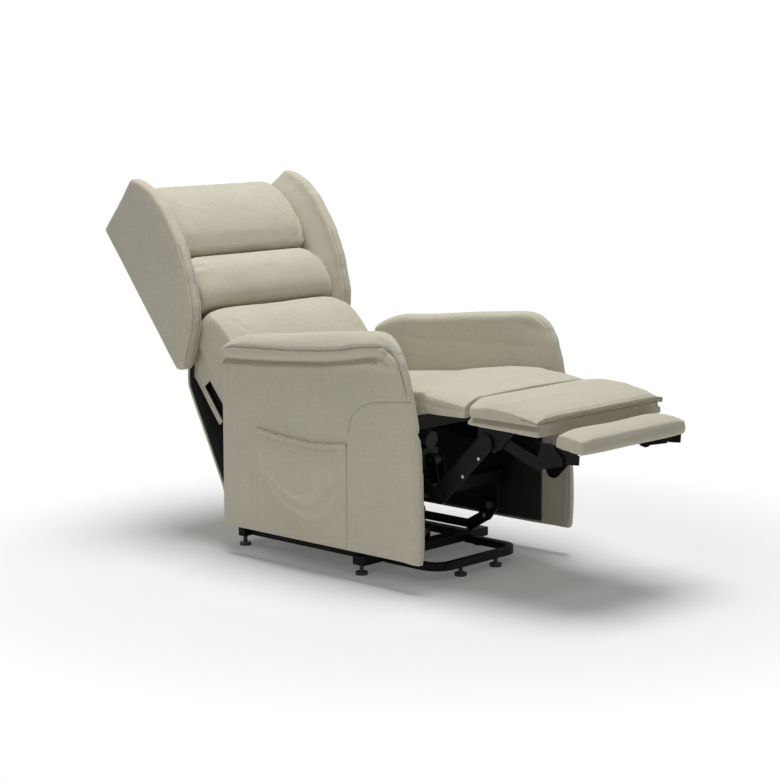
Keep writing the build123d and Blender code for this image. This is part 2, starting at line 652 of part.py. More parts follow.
seat_outline = [
    (SEAT_REAR_X, seat_rear_foot),
    (DECK_FRONT[0], DECK_FRONT[1] + SOFT_GAP),
    (SEAT_FRONT_X - SEAT_FRONT_LIP, SEAT_FRONT_FOOT),
    (SEAT_FRONT_X - 2, SEAT_FRONT_FOOT),
    ((SEAT_FRONT_X, (SEAT_FRONT_FOOT + SEAT_FRONT_TOP) / 2), (SEAT_FRONT_X - 3, SEAT_FRONT_TOP)),
    (SEAT_CROWN, (SEAT_REAR_X + SEAT_REAR_SLOPE, SEAT_REAR_TOP)),
    ((SEAT_REAR_X - 3, (seat_rear_foot + SEAT_REAR_TOP) / 2), (SEAT_REAR_X, seat_rear_foot)),
]


def seat_side(drop, draw):
    """Seat outline with the top lowered and the front drawn in towards the sides."""
    middle = (SEAT_CROWN[0], deck_height(SEAT_CROWN[0]))

    def move(p):
        lift = max(p[1] - deck_height(p[0]) - SOFT_GAP, 0)
        x = p[0] - math.copysign(draw, p[0] - middle[0]) * min(1, abs(p[0] - middle[0]) / SEAT_DRAW_RUN)
        return (x, deck_height(x) + SOFT_GAP + lift * drop)
    return mapped(seat_outline, move)


seat_edge = seat_side(*SEAT_EDGE)
seat_shoulder = seat_side(*SEAT_SHOULDER)
nodes["seat_cushion"] = padded(
    [
        (-seat_half, seat_edge),
        (-SHOULDER_SHARE * seat_half, seat_shoulder),
        (0, seat_outline),
        (SHOULDER_SHARE * seat_half, seat_shoulder),
        (seat_half, seat_edge),
    ]
)

# Arms: upholstered body round a wooden frame, with a padded roll on top
arm_outline = [
    (0, ARM_FOOT),
    (ARM_LENGTH, ARM_FOOT),
    (ARM_FRONT_BELLY, ARM_FRONT_SHOULDER),
    ARM_FRONT_TOP,
    (0, ARM_REAR_TOP),
]
arm_middle = (ARM_LENGTH / 2, (ARM_FOOT + ARM_REAR_TOP) / 2)
arm_body = padded(
    [
        (arm_pad_inner, inset(arm_outline, ARM_ROUND, arm_middle)),
        (arm_pad_inner + ARM_ROUND, inset(arm_outline, ARM_ROUND / 4, arm_middle)),
        ((arm_pad_inner + arm_outer) / 2, arm_outline),
        (arm_outer - ARM_ROUND, inset(arm_outline, ARM_ROUND / 4, arm_middle)),
        (arm_outer, inset(arm_outline, ARM_ROUND / 2, arm_middle)),
    ]
)
lining_x = (-ARM_ROUND, ARM_FRONT_BELLY[0] + ARM_ROUND)
arm_body -= block(lining_x, (arm_pad_inner - CUT, arm_inner), (ARM_FOOT - CUT, ARM_PAD_FOOT))
board_y = (arm_inner + ARM_BOARD_SKIN, arm_outer - ARM_BOARD_SKIN)


def arm_board(foot):
    """The wooden arm panel, set in from the upholstered outline."""
    edge = ARM_BOARD_EDGE
    return plate(
        [
            (edge, foot),
            (ARM_LENGTH - 2.5 * edge, foot),
            (ARM_LENGTH - 2.5 * edge, ARM_FRONT_BELLY[1] + 2.5 * edge),
            (ARM_FRONT_TOP[0] - 1.5 * edge, ARM_FRONT_TOP[1] - 2.5 * edge),
            (edge, ARM_REAR_TOP - 2 * edge),
        ],
        board_y,
    )


arm_body -= arm_board(ARM_FOOT - CUT)
window_z = (ARM_FOOT + ARM_BOARD_BAR, ARM_REAR_TOP - 2 * ARM_BOARD_EDGE - ARM_BOARD_BAR)
window_middle = ARM_LENGTH / 2 - ARM_BOARD_EDGE
arm_frame = arm_board(ARM_FOOT + CUT)
for window_x in (
    (ARM_BOARD_EDGE + ARM_BOARD_BAR, window_middle - ARM_BOARD_BAR / 2),
    (window_middle + ARM_BOARD_BAR / 2, ARM_FRONT_TOP[0] - 1.5 * ARM_BOARD_EDGE - ARM_BOARD_BAR),
):
    arm_frame -= block(window_x, wider(board_y, CUT), window_z)
nodes["left_arm_frame"] = arm_frame
nodes["right_arm_frame"] = mirror(arm_frame, about=Plane.XZ)
nodes["left_arm_upholstery"] = arm_body
nodes["right_arm_upholstery"] = mirror(arm_body, about=Plane.XZ)



def arm_top(x):
    """Height of the arm body's top, where the roll sits."""
    return ARM_REAR_TOP + (ARM_FRONT_TOP[1] - ARM_REAR_TOP) * x / ARM_FRONT_TOP[0] + SOFT_GAP


roll_outline = [
    (ROLL_REAR_X, arm_top(ROLL_REAR_X)),
    (ARM_FRONT_TOP[0], arm_top(ARM_FRONT_TOP[0])),
    (ROLL_NOSE, ROLL_CROWN),
    (ROLL_REAR_X, ROLL_REAR_TOP),
]


def roll_side(draw):
    """Roll outline drawn in from above and at its ends; its seat on the arm stays put."""
    def move(p):
        x = p[0] - math.copysign(draw / 2, p[0] - ARM_LENGTH / 2)
        return (x, arm_top(x) + max(p[1] - arm_top(p[0]) - draw, 0))
    return mapped(roll_outline, move)


roll = padded(
    [
        (arm_pad_inner, roll_side(ROLL_ROUND)),
        (arm_pad_inner + ROLL_ROUND, roll_side(ROLL_ROUND / 7)),
        ((arm_pad_inner + arm_outer) / 2, roll_outline),
        (arm_outer - ROLL_ROUND / 2, roll_side(ROLL_ROUND / 5)),
        (arm_outer + ROLL_OVERHANG, roll_side(1.6 * ROLL_ROUND)),
    ]
)
nodes["left_arm_roll"] = roll
nodes["right_arm_roll"] = mirror(roll, about=Plane.XZ)

arm_brackets = Part()
for bracket_x, bracket_z in zip(ARM_BRACKET_X, ARM_BRACKET_Z):
    across = around(bracket_x, ARM_BRACKET_SIZE[0])
    arm_brackets += block(across, (side_plate_y[1], arm_inner), around(bracket_z, ARM_BRACKET_SIZE[1]))
nodes["arm_brackets"] = both_sides(arm_brackets)
nodes["rear_rail"] = block(REAR_RAIL_X, (-arm_inner, arm_inner), REAR_RAIL_Z)
box_x = (rear_tube_x[0], rear_tube_x[0] + CONTROL_BOX[0])
box_z = (rear_tube_z[0] - CONTROL_BOX[2], rear_tube_z[0])
nodes["control_box"] = block(box_x, around(CONTROL_BOX_Y, CONTROL_BOX[1]), box_z)


def pocket_section(x, depth, z):
    """Plan of the pocket cloth against the arm: short ends and a bowed front."""
    face = -arm_outer
    edge = face - min(POCKET_CLOTH, depth / 2)
    middle = ((x[0] + x[1]) / 2, face - depth, z)
    first = Line((x[0], face, z), (x[0], edge, z))
    front = ThreePointArc((x[0], edge, z), middle, (x[1], edge, z))
    last = Line((x[1], edge, z), (x[1], face, z))
    back = Line((x[1], face, z), (x[0], face, z))
    return make_face([first, front, last, back])


pocket_steps = len(POCKET_DEPTH) - 1
pocket_rise = (POCKET_Z[1] - POCKET_Z[0]) / pocket_steps
outside = []
inside = []
pocket_inner_x = (POCKET_X[0] + POCKET_HEM, POCKET_X[1] - POCKET_HEM)
for index, depth in enumerate(POCKET_DEPTH):
    level = POCKET_Z[0] + index * pocket_rise
    outside.append(pocket_section(POCKET_X, depth, level))
    inner_level = level + (POCKET_HEM if index == 0 else 0) + (1 if index == pocket_steps else 0)
    inside.append(pocket_section(pocket_inner_x, depth - POCKET_CLOTH, inner_level))
nodes["side_pocket"] = loft(outside) - loft(inside)

# Backrest
hinge_reach = side_plate_y[1] + HEAD
nodes["back_pivot_tube"] = pin(BACK_HINGE, (-hinge_reach, hinge_reach), BACK_HINGE_TUBE_R)
bracket_shelf_u = LOWER_U[0] - BACK_BRACKET_CLEAR
back_bracket = plate(
    [
        (BACK_BRACKET_EDGE, -BACK_BRACKET_EDGE),
        (BACK_BRACKET_EDGE, bracket_shelf_u),
        (BACK_FRAME_FRONT, bracket_shelf_u),
        (BACK_FRAME_FRONT, BACK_BRACKET_TOP_U),
        (BACK_REAR + CUT, BACK_BRACKET_TOP_U),
        (BACK_REAR + CUT, 2 * BACK_BRACKET_EDGE),
        BACK_BRACKET_HEEL,
        (-BACK_BRACKET_EDGE, -BACK_BRACKET_EDGE),
    ],
    back_bracket_y,
)
back_bracket -= pin((0, 0), wider(back_bracket_y, CUT), BACK_HINGE_TUBE_R)
nodes["back_brackets"] = back_plane * both_sides(back_bracket)
lever_pin = polar(BACK_HINGE, BACK_LEVER_LENGTH, BACK_LEVER_ANGLE)
nodes["back_lever"] = slotted_lever(BACK_HINGE, lever_pin, BACK_HINGE_TUBE_R)
nodes["back_motor"], nodes["back_rod"] = actuator(BACK_MOTOR_PIVOT, lever_pin, BACK_ROD_SHOWING)

frame_w = (BACK_REAR, BACK_FRAME_FRONT)
side_rail = block(frame_w, back_rail_y, BACK_RAIL_U)
side_rail += block(frame_w, (back_rail_y[1], wing_inner), (WING_FOOT_U + WING_RAIL_GAP, BACK_RAIL_U[1]))
nodes["back_side_rails"] = back_plane * both_sides(side_rail)
cross_rails = Part()
for low in BACK_CROSS_U:
    cross_rails += block(frame_w, (-back_rail_y[0], back_rail_y[0]), (low, low + BACK_CROSS_HEIGHT))
nodes["back_cross_rails"] = back_plane * cross_rails
back_strap_w = (BACK_FRAME_FRONT, BACK_FRAME_FRONT + STRAP)
back_strap_pitch = (BACK_RAIL_U[1] - BACK_RAIL_U[0] - BACK_STRAP_WIDTH) / (BACK_STRAP_COUNT - 1)
back_straps = Part()
for index in range(BACK_STRAP_COUNT):
    low = BACK_RAIL_U[0] + index * back_strap_pitch
    back_straps += block(back_strap_w, (-back_rail_y[1], back_rail_y[1]), (low, low + BACK_STRAP_WIDTH))
nodes["back_webbing"] = back_plane * back_straps

cushion_w = BACK_FRAME_FRONT + STRAP + SOFT_GAP


def waterfall_cushion(u, bulge, half):
    """A back cushion that hangs fullest below its middle and tucks into the creases."""
    low, high = u
    outline = [
        (cushion_w, low),
        (BACK_CREASE_W - TUCK, low),
        ((BACK_CREASE_W + TUCK / 6, low + TUCK / 4), (BACK_CREASE_W + TUCK, low + TUCK)),
        ((bulge, (low + high) / 2), (BACK_CREASE_W + TUCK / 2, high - TUCK)),
        ((BACK_CREASE_W, high - TUCK / 4), (BACK_CREASE_W - TUCK, high)),
        (cushion_w, high),
    ]
    anchor = (cushion_w, sum(u) / 2)
    return pillow(outline, half, anchor, BACK_SHOULDER, BACK_EDGE)


nodes["lower_back_cushion"] = back_plane * waterfall_cushion(LOWER_U, LOWER_BULGE_W, FRAME_HALF + LOWER_WIDER)
nodes["lumbar_cushion"] = back_plane * waterfall_cushion(LUMBAR_U, LUMBAR_BULGE_W, FRAME_HALF)
over_top = BACK_RAIL_U[1] + SOFT_GAP
head_rear = BACK_REAR + HEAD_SETBACK
head_outline = [
    (cushion_w, HEAD_U[0]),
    (BACK_CREASE_W - TUCK, HEAD_U[0]),
    ((BACK_CREASE_W + TUCK / 6, HEAD_U[0] + TUCK / 4), (BACK_CREASE_W + TUCK, HEAD_U[0] + TUCK)),
    ((HEAD_BULGE_W, sum(HEAD_U) / 2), (HEAD_TOP_W, HEAD_U[1] - TUCK)),
    ((HEAD_TOP_W - 1.3 * TUCK, HEAD_U[1] + 0.7 * TUCK), (HEAD_TOP_W - 4 * TUCK, HEAD_U[1] + 0.7 * TUCK)),
    (head_rear, over_top + HEAD_CAP),
    (head_rear, over_top),
    (cushion_w, over_top),
]
head_anchor = (cushion_w, over_top)
nodes["head_cushion"] = back_plane * pillow(head_outline, FRAME_HALF, head_anchor, BACK_SHOULDER, BACK_EDGE)

wing_outline = [
    (BACK_REAR - BACK_PANEL, WING_FOOT_U + WING_HEEL[1]),
    (BACK_REAR + WING_HEEL[0], WING_FOOT_U),
    WING_CHIN,
    (WING_JAW, WING_CHEEK),
    (WING_FRONT, WING_BELLY),
    (WING_BROW, WING_PEAK),
    (BACK_REAR - BACK_PANEL, WING_REAR_TOP_U),
]
wing_middle = ((BACK_REAR + WING_BELLY[0]) / 2, (WING_FOOT_U + WING_PEAK[1]) / 2)
wing = padded(
    [
        (wing_inner, inset(wing_outline, WING_ROUND, wing_middle)),
        (wing_inner + WING_ROUND, inset(wing_outline, WING_ROUND / 4, wing_middle)),
        ((wing_inner + wing_outer) / 2, wing_outline),
        (wing_outer - WING_ROUND, inset(wing_outline, WING_ROUND / 4, wing_middle)),
        (wing_outer, inset(wing_outline, WING_ROUND, wing_middle)),
    ]
)
nodes["left_wing"] = back_plane * wing
nodes["right_wing"] = back_plane * mirror(wing, about=Plane.XZ)
panel_w = (BACK_REAR - BACK_PANEL, BACK_REAR)
panel_u = (WING_FOOT_U + WING_HEEL[1], BACK_RAIL_U[1] + TUCK)
nodes["back_panel"] = back_plane * block(panel_w, (-wing_inner, wing_inner), panel_u)

flap_top_u = panel_u[0] - REAR_FLAP_GAP
flap_top = back_place(BACK_REAR - BACK_PANEL, flap_top_u)
flap_inner_top = back_place(BACK_REAR - BACK_PANEL + REAR_FLAP_CLOTH, flap_top_u)
flap_foot_x = REAR_RAIL_X[0] - SOFT_GAP
nodes["rear_flap"] = plate(
    [
        flap_top,
        REAR_FLAP_KNEE,
        (flap_foot_x - REAR_FLAP_CLOTH, REAR_RAIL_Z[1]),
        (flap_foot_x - REAR_FLAP_CLOTH, REAR_RAIL_Z[0]),
        (flap_foot_x, REAR_RAIL_Z[0]),
        (flap_foot_x, REAR_RAIL_Z[1]),
        (REAR_FLAP_KNEE[0] + REAR_FLAP_CLOTH, REAR_FLAP_KNEE[1]),
        flap_inner_top,
    ],
    (-rear_flap_half, rear_flap_half),
)

# Legrest linkage
knee_stud_end = upper_link_y[0] - HEAD_PLAY
lower_link = bar(LOWER_LINK_PIVOT, KNEE_PIVOT, lower_link_y, LOWER_LINK_WIDTH)
lower_link -= pin(LOWER_LINK_PIVOT, wider(lower_link_y, CUT), LINK_PIN_R + PIN_PLAY)
knee_head_y = (knee_stud_end - HEAD, knee_stud_end)
lower_link += headed(KNEE_PIVOT, (knee_stud_end, lower_link_y[1]), LINK_PIN_R, knee_head_y)
nodes["legrest_lower_links"] = both_sides(lower_link)
leg_stud_end = bracket_y[0] - HEAD_PLAY
upper_link = bar(KNEE_PIVOT, LEGREST_PIVOT, upper_link_y, UPPER_LINK_WIDTH)
upper_link -= pin(KNEE_PIVOT, wider(upper_link_y, CUT), LINK_PIN_R + PIN_PLAY)
leg_head_y = (leg_stud_end - HEAD, leg_stud_end)
upper_link += headed(LEGREST_PIVOT, (leg_stud_end, upper_link_y[1]), LINK_PIN_R, leg_head_y)
nodes["legrest_upper_links"] = both_sides(upper_link)

leg_bracket_x = (LEGREST_PIVOT[0] - 1.4 * LEG_BOSS, LEGREST_PIVOT[0] + 4 * LEG_BOSS)
leg_bracket = plate(
    [
        (leg_bracket_x[0], board_under(leg_bracket_x[0])),
        (leg_bracket_x[1], board_under(leg_bracket_x[1])),
        (LEGREST_PIVOT[0] + 2.5 * LEG_BOSS, LEGREST_PIVOT[1]),
        (LEGREST_PIVOT[0] + LEG_BOSS, LEGREST_PIVOT[1] - LEG_BOSS),
        (LEGREST_PIVOT[0] - LEG_BOSS / 2, LEGREST_PIVOT[1] - LEG_BOSS),
        (LEGREST_PIVOT[0] - 1.2 * LEG_BOSS, LEGREST_PIVOT[1] - LEG_BOSS / 4),
    ],
    bracket_y,
)
leg_bracket -= pin(LEGREST_PIVOT, wider(bracket_y, CUT), LINK_PIN_R + PIN_PLAY)
nodes["legrest_brackets"] = both_sides(leg_bracket)
nodes["legrest_cross_tube"] = pin(LEGREST_TUBE, (-bracket_y[0], bracket_y[0]), LEGREST_TUBE_R)
strut = bar(STRUT_REAR, STRUT_FRONT, strut_y, STRUT_WIDTH)
strut += plate(
    [
        (FLAP_PIVOT[0] - 2.5 * FLAP_BOSS, STRUT_FRONT[1] - FLAP_BOSS),
        (FLAP_PIVOT[0] + 3.5 * FLAP_BOSS, STRUT_FRONT[1] + FLAP_BOSS / 3),
        (FLAP_PIVOT[0] + 4 * FLAP_BOSS, STRUT_FRONT[1] + 1.8 * FLAP_BOSS),
        (FLAP_PIVOT[0] + FLAP_BOSS, FLAP_PIVOT[1] + 0.85 * FLAP_BOSS),
        (FLAP_PIVOT[0] - 0.85 * FLAP_BOSS, FLAP_PIVOT[1] + 0.85 * FLAP_BOSS),
    ],
    strut_y,
)
flap_stud_end = flap_bracket_y[0] - HEAD_PLAY
strut += headed(FLAP_PIVOT, (flap_stud_end, strut_y[1]), SMALL_PIN_R, (flap_stud_end - HEAD, flap_stud_end))
nodes["flap_struts"] = both_sides(strut)
nodes["legrest_board"] = plate(
    [
        (BOARD_X[0], BOARD_FOOT[0]),
        (BOARD_X[1], BOARD_FOOT[1]),
        (BOARD_X[1], BOARD_TOP),
        (BOARD_X[0], BOARD_TOP),
    ],
    (-board_half, board_half),
)


def flat_pad(x, foot, edge_top, crown_top):
    """Cross-section of a flat pad: round front and rear edges and a crowned top."""
    middle = (foot + edge_top) / 2
    return [
        (x[0] + PAD_EDGE_ROUND / 2, foot),
        (x[1] - PAD_EDGE_ROUND / 2, foot),
        ((x[1], middle), (x[1] - PAD_EDGE_ROUND, edge_top)),
        (((x[0] + x[1]) / 2, crown_top), (x[0] + PAD_EDGE_ROUND, edge_top)),
        ((x[0], middle), (x[0] + PAD_EDGE_ROUND / 2, foot)),
    ]


pad_x = (BOARD_X[0] + PAD_OVERHANG, PAD_FRONT_X)
pad_outline = flat_pad(pad_x, BOARD_TOP + SOFT_GAP, PAD_EDGE_TOP, PAD_CROWN_TOP)
pad_anchor = (sum(pad_x) / 2, BOARD_TOP + SOFT_GAP)
nodes["legrest_pad"] = pillow(pad_outline, FRAME_HALF + PAD_WIDER, pad_anchor, PAD_SHOULDER, PAD_EDGE)
bridge_outline = flat_pad(BRIDGE_X, BRIDGE_FOOT, PAD_EDGE_TOP, PAD_CROWN_TOP)
bridge_anchor = (sum(BRIDGE_X) / 2, BRIDGE_FOOT)
bridge_half = FRAME_HALF + BRIDGE_WIDER
nodes["bridge_pad"] = pillow(bridge_outline, bridge_half, bridge_anchor, PAD_SHOULDER, BRIDGE_EDGE)

# Foot flap
flap_half = strut_y[0] - LINK_GAP
flap_plane = Pos(FLAP_PAD_CORNER[0], 0, FLAP_PAD_CORNER[1]) * Rot(0, FLAP_PAD_TILT, 0)


def flap_place(along, up):
    """The (x, z) place of a point on the tilted foot flap."""
    turn = math.radians(FLAP_PAD_TILT)
    x = FLAP_PAD_CORNER[0] + along * math.cos(turn) + up * math.sin(turn)
    return (x, FLAP_PAD_CORNER[1] - along * math.sin(turn) + up * math.cos(turn))


flap_outline = flat_pad((0, FLAP_PAD_LENGTH), 0, FLAP_PAD_THICK - FLAP_PAD_CROWN, FLAP_PAD_THICK)
flap_anchor = (FLAP_PAD_LENGTH / 2, 0)
nodes["foot_flap_pad"] = flap_plane * pillow(flap_outline, flap_half, flap_anchor, FLAP_SHOULDER, FLAP_EDGE)
flap_bracket = plate(
    [
        (FLAP_PIVOT[0] - 0.9 * FLAP_BOSS, FLAP_PIVOT[1] - FLAP_BOSS / 2),
        (FLAP_PIVOT[0] - FLAP_BOSS / 2, FLAP_PIVOT[1] + 0.8 * FLAP_BOSS),
        (FLAP_PIVOT[0] + FLAP_BOSS / 2, FLAP_PIVOT[1] + 0.8 * FLAP_BOSS),
        flap_place(0.1 * FLAP_PAD_LENGTH, -SOFT_GAP),
        flap_place(0.85 * FLAP_PAD_LENGTH, -SOFT_GAP),
        (FLAP_PIVOT[0] + 7 * FLAP_BOSS, FLAP_PIVOT[1] - 2.4 * FLAP_BOSS),
        (FLAP_PIVOT[0] + 4.5 * FLAP_BOSS, FLAP_PIVOT[1] - 2.6 * FLAP_BOSS),
        (FLAP_PIVOT[0] + 1.5 * FLAP_BOSS, FLAP_PIVOT[1] - 1.6 * FLAP_BOSS),
    ],
    flap_bracket_y,
)
flap_bracket -= pin(FLAP_PIVOT, wider(flap_bracket_y, CUT), SMALL_PIN_R + PIN_PLAY)
nodes["foot_flap_brackets"] = both_sides(flap_bracket)

os.makedirs("parts", exist_ok=True)
for name, shape in nodes.items():
    export_step(Pos(-ORIGIN_X, 0, 0) * shape, f"parts/{name}.step")
print(len(nodes), "nodes written")
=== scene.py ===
"""Dresses a wing-back lift recliner: woven covers, seams, linings, steelwork and a plain studio."""
import json
import logging
import math
from abc import ABC, abstractmethod
from dataclasses import dataclass, field
from enum import Enum
from typing import Callable, Optional, Sequence

import bmesh
import bpy
import numpy as np
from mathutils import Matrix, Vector, noise
from mathutils.bvhtree import BVHTree


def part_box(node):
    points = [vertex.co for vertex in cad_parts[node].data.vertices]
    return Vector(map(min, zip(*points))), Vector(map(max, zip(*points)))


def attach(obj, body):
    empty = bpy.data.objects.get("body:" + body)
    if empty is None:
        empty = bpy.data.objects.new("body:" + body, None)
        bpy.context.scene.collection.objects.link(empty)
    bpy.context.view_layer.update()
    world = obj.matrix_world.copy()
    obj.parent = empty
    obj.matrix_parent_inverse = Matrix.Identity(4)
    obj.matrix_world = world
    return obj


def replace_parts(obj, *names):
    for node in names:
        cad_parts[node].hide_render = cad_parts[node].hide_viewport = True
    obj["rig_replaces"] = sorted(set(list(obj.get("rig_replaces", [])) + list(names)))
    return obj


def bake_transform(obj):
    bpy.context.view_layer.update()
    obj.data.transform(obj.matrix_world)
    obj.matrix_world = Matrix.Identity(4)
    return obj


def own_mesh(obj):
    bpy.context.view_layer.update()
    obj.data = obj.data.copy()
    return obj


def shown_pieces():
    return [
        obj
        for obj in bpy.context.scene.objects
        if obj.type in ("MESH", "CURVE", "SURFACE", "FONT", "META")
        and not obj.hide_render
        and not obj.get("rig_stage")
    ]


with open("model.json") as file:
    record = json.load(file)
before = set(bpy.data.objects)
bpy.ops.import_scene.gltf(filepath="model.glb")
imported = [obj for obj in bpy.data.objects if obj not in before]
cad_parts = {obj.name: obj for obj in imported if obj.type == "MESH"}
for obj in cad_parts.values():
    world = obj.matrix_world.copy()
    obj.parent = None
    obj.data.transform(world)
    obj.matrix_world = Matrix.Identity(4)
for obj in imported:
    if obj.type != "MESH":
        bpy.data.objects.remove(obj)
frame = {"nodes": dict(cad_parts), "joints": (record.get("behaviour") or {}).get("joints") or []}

log = logging.getLogger("recliner")
Piece = bpy.types.Object
Socket = bpy.types.NodeSocket
Rows = np.ndarray
Pair = tuple[float, float]
Triple = tuple[float, float, float]
Line = Sequence[Pair]
Mask = Callable[[Rows], Rows]
Spot = Callable[[float, float], Vector]

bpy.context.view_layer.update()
HINGE = Vector(next(joint["pos_m"] for joint in frame["joints"] if joint["name"] == "back_recline"))
HINGE_FROM_ARM_REAR = 0.060
ARM_REAR_X = HINGE.x - HINGE_FROM_ARM_REAR
UP = Vector((0, 0, 1))
WHITE = (1.0, 1.0, 1.0)
NOISE_RANGE = (0.3, 0.7)  # where most values of a noise node lie
NEAREST_BLOCK = 64  # seam places that are searched at once
SEAM_STEP = 0.004  # distance between a seam's places
COVER_CLOTH = 0.0018  # thickness
LINING_CLOTH = 0.0010


class Side(Enum):
    """The sitter's left or right; the value is the sign of Y."""

    LEFT = 1
    RIGHT = -1

    @property
    def word(self) -> str:
        """The side's name, as the CAD nodes spell it."""
        return self.name.lower()


def at(x: float, y: float, z: float) -> Vector:
    """A place counted forward from the arms' rear edge, to the sitter's left and up from the floor."""
    return Vector((ARM_REAR_X + x, y, z))


def mm(*spots: Pair) -> tuple[Pair, ...]:
    """Pairs of millimetres as pairs of metres."""
    return tuple((first / 1000, second / 1000) for first, second in spots)


def ramp(values: Rows, start: float, end: float) -> Rows:
    """A smooth step from 0 at start to 1 at end."""
    share = np.clip((values - start) / (end - start), 0.0, 1.0)
    return share * share * (3 - 2 * share)


def hump(values: Rows, rise: Pair, fall: Pair) -> Rows:
    """A smooth step up over the rise and down again over the fall."""
    return ramp(values, *rise) * (1 - ramp(values, *fall))


def follow(line: Line, values: Rows) -> Rows:
    """The second number of a line's pairs, read where the first has the given values."""
    return np.interp(values, *zip(*line))


def skyline(along: Rows, height: Rows, marks: Rows, reach: float, least: float) -> Rows:
    """The greatest height near each mark.

    Args:
        along: Where the points stand.
        height: Their heights.
        marks: Where the greatest height is wanted.
        reach: How near to a mark a point counts.
        least: The height where no higher point is near.

    Returns:
        One height for each mark.
    """
    return np.array([height[np.abs(along - mark) < reach].max(initial=least) for mark in marks])


class NodeSheet:
    """The node tree of a material or world, with short calls to add and join nodes."""

    def __init__(self, owner: bpy.types.ID) -> None:
        """Switch the owner's nodes on and keep them.

        Args:
            owner: The material or world whose nodes are written.
        """
        owner.use_nodes = True
        self.tree = owner.node_tree
        self.shader = self.tree.nodes.get("Principled BSDF") or self.tree.nodes["Background"]

    def join(self, socket: Socket, value: object) -> None:
        """Link an input to an output socket, or set its value.

        Args:
            socket: The input.
            value: An output socket, a number, a vector, or a colour without alpha.
        """
        if isinstance(value, Socket):
            self.tree.links.new(value, socket)
        else:
            socket.default_value = (*value, 1.0) if socket.type == "RGBA" else value

    def add(self, kind: str, inputs: Optional[dict] = None, **settings: object) -> bpy.types.Node:
        """Add one node.

        Args:
            kind: The node's type name.
            inputs: Values or output sockets for its inputs, by name or number.
            settings: Attributes of the node.

        Returns:
            The new node.
        """
        node = self.tree.nodes.new(kind)
        for name, value in settings.items():
            setattr(node, name, value)
        for name, value in (inputs or {}).items():
            self.join(node.inputs[name], value)
        return node

    def surface(self, inputs: dict[str, object]) -> None:
        """Fill inputs of the shader."""
        for name, value in inputs.items():
            self.join(self.shader.inputs[name], value)

    def mix(self, share: Socket, first: Triple, second: Triple) -> Socket:
        """Mix two colours.

        Args:
            share: How much of the second colour shows.
            first: The first colour.
            second: The second colour.

        Returns:
            The mixed colour.
        """
        node = self.add("ShaderNodeMix", data_type="RGBA")
        inputs = {socket.name: socket for socket in node.inputs if socket.enabled}
        for name, value in (("Factor", share), ("A", first), ("B", second)):
            self.join(inputs[name], value)
        return next(socket for socket in node.outputs if socket.enabled)

    def calc(self, operation: str, first: object, second: object) -> Socket:
        """One step of arithmetic on two values or sockets."""
        return self.add("ShaderNodeMath", {0: first, 1: second}, operation=operation).outputs[0]

    def span(self, value: Socket, source: Pair, target: Pair = (0.0, 1.0)) -> Socket:
        """Map a value from one range to another, clamped."""
        ends = {"From Min": source[0], "From Max": source[1], "To Min": target[0], "To Max": target[1]}
        return self.add("ShaderNodeMapRange", {"Value": value, **ends}).outputs[0]

    def grain(self, cycles: float | Triple, detail: float = 2.0) -> Socket:
        """Noise in the object's own axes.

        Args:
            cycles: Cycles per metre, the same all round or along X, Y and Z.
            detail: Octaves of finer noise.

        Returns:
            The noise value.
        """
        scale = (cycles,) * 3 if isinstance(cycles, float) else cycles
        coords = self.add("ShaderNodeTexCoord").outputs["Object"]
        scaled = self.add("ShaderNodeVectorMath", {0: coords, 1: scale}, operation="MULTIPLY").outputs[0]
        inputs = {"Vector": scaled, "Scale": 1.0, "Detail": detail, "Roughness": 0.5}
        return self.add("ShaderNodeTexNoise", inputs).outputs[0]

    def facing(self) -> Sequence[Socket]:
        """The parts of the surface's direction along the object's X, Y and Z."""
        normal = self.add("ShaderNodeTexCoord").outputs["Normal"]
        return self.add("ShaderNodeSeparateXYZ", {0: normal}).outputs

    def bump(self, height: Socket, relief: Pair) -> None:
        """Raise the surface's shading by a height, with a strength and a distance."""
        inputs = {"Height": height, "Strength": relief[0], "Distance": relief[1]}
        self.surface({"Normal": self.add("ShaderNodeBump", inputs).outputs[0]})

    def show_white(self, kind: str, share: Optional[Socket] = None) -> None:
        """Show plain white to the camera, straight on and in gloss or glass.

        Args:
            kind: Type name of the node that shines white.
            share: How much of the white shows; all of it where none is given.
        """
        rays = self.add("ShaderNodeLightPath").outputs
        seen = rays["Is Camera Ray"]
        for other in ("Is Glossy Ray", "Is Transmission Ray"):
            seen = self.calc("MAXIMUM", seen, rays[other])
        if share is not None:
            seen = self.calc("MULTIPLY", share, seen)
        white = self.add(kind, {"Color": WHITE, "Strength": 1.0}).outputs[0]
        blend = self.add("ShaderNodeMixShader", {0: seen, 1: self.shader.outputs[0], 2: white}).outputs[0]
        output = next(node for node in self.tree.nodes if node.type.startswith("OUTPUT"))
        self.join(output.inputs[0], blend)


@dataclass(frozen=True)
class Finish(ABC):
    """A surface finish that makes its material once."""

    name: str
    slot: str

    def material(self) -> bpy.types.Material:
        """The finish's material, made at first use.

        Returns:
            The one material that all pieces with this finish share.
        """
        found = bpy.data.materials.get(self.name)
        if found is None:
            found = bpy.data.materials.new(self.name)
            self.paint(NodeSheet(found))
        return found

    def dress(self, piece: Piece) -> None:
        """Give a piece this finish in its only material slot.

        Args:
            piece: The piece to dress.
        """
        piece.data.materials.clear()
        piece.data.materials.append(self.material())

    @abstractmethod
    def paint(self, sheet: NodeSheet) -> None:
        """Write the finish's nodes."""


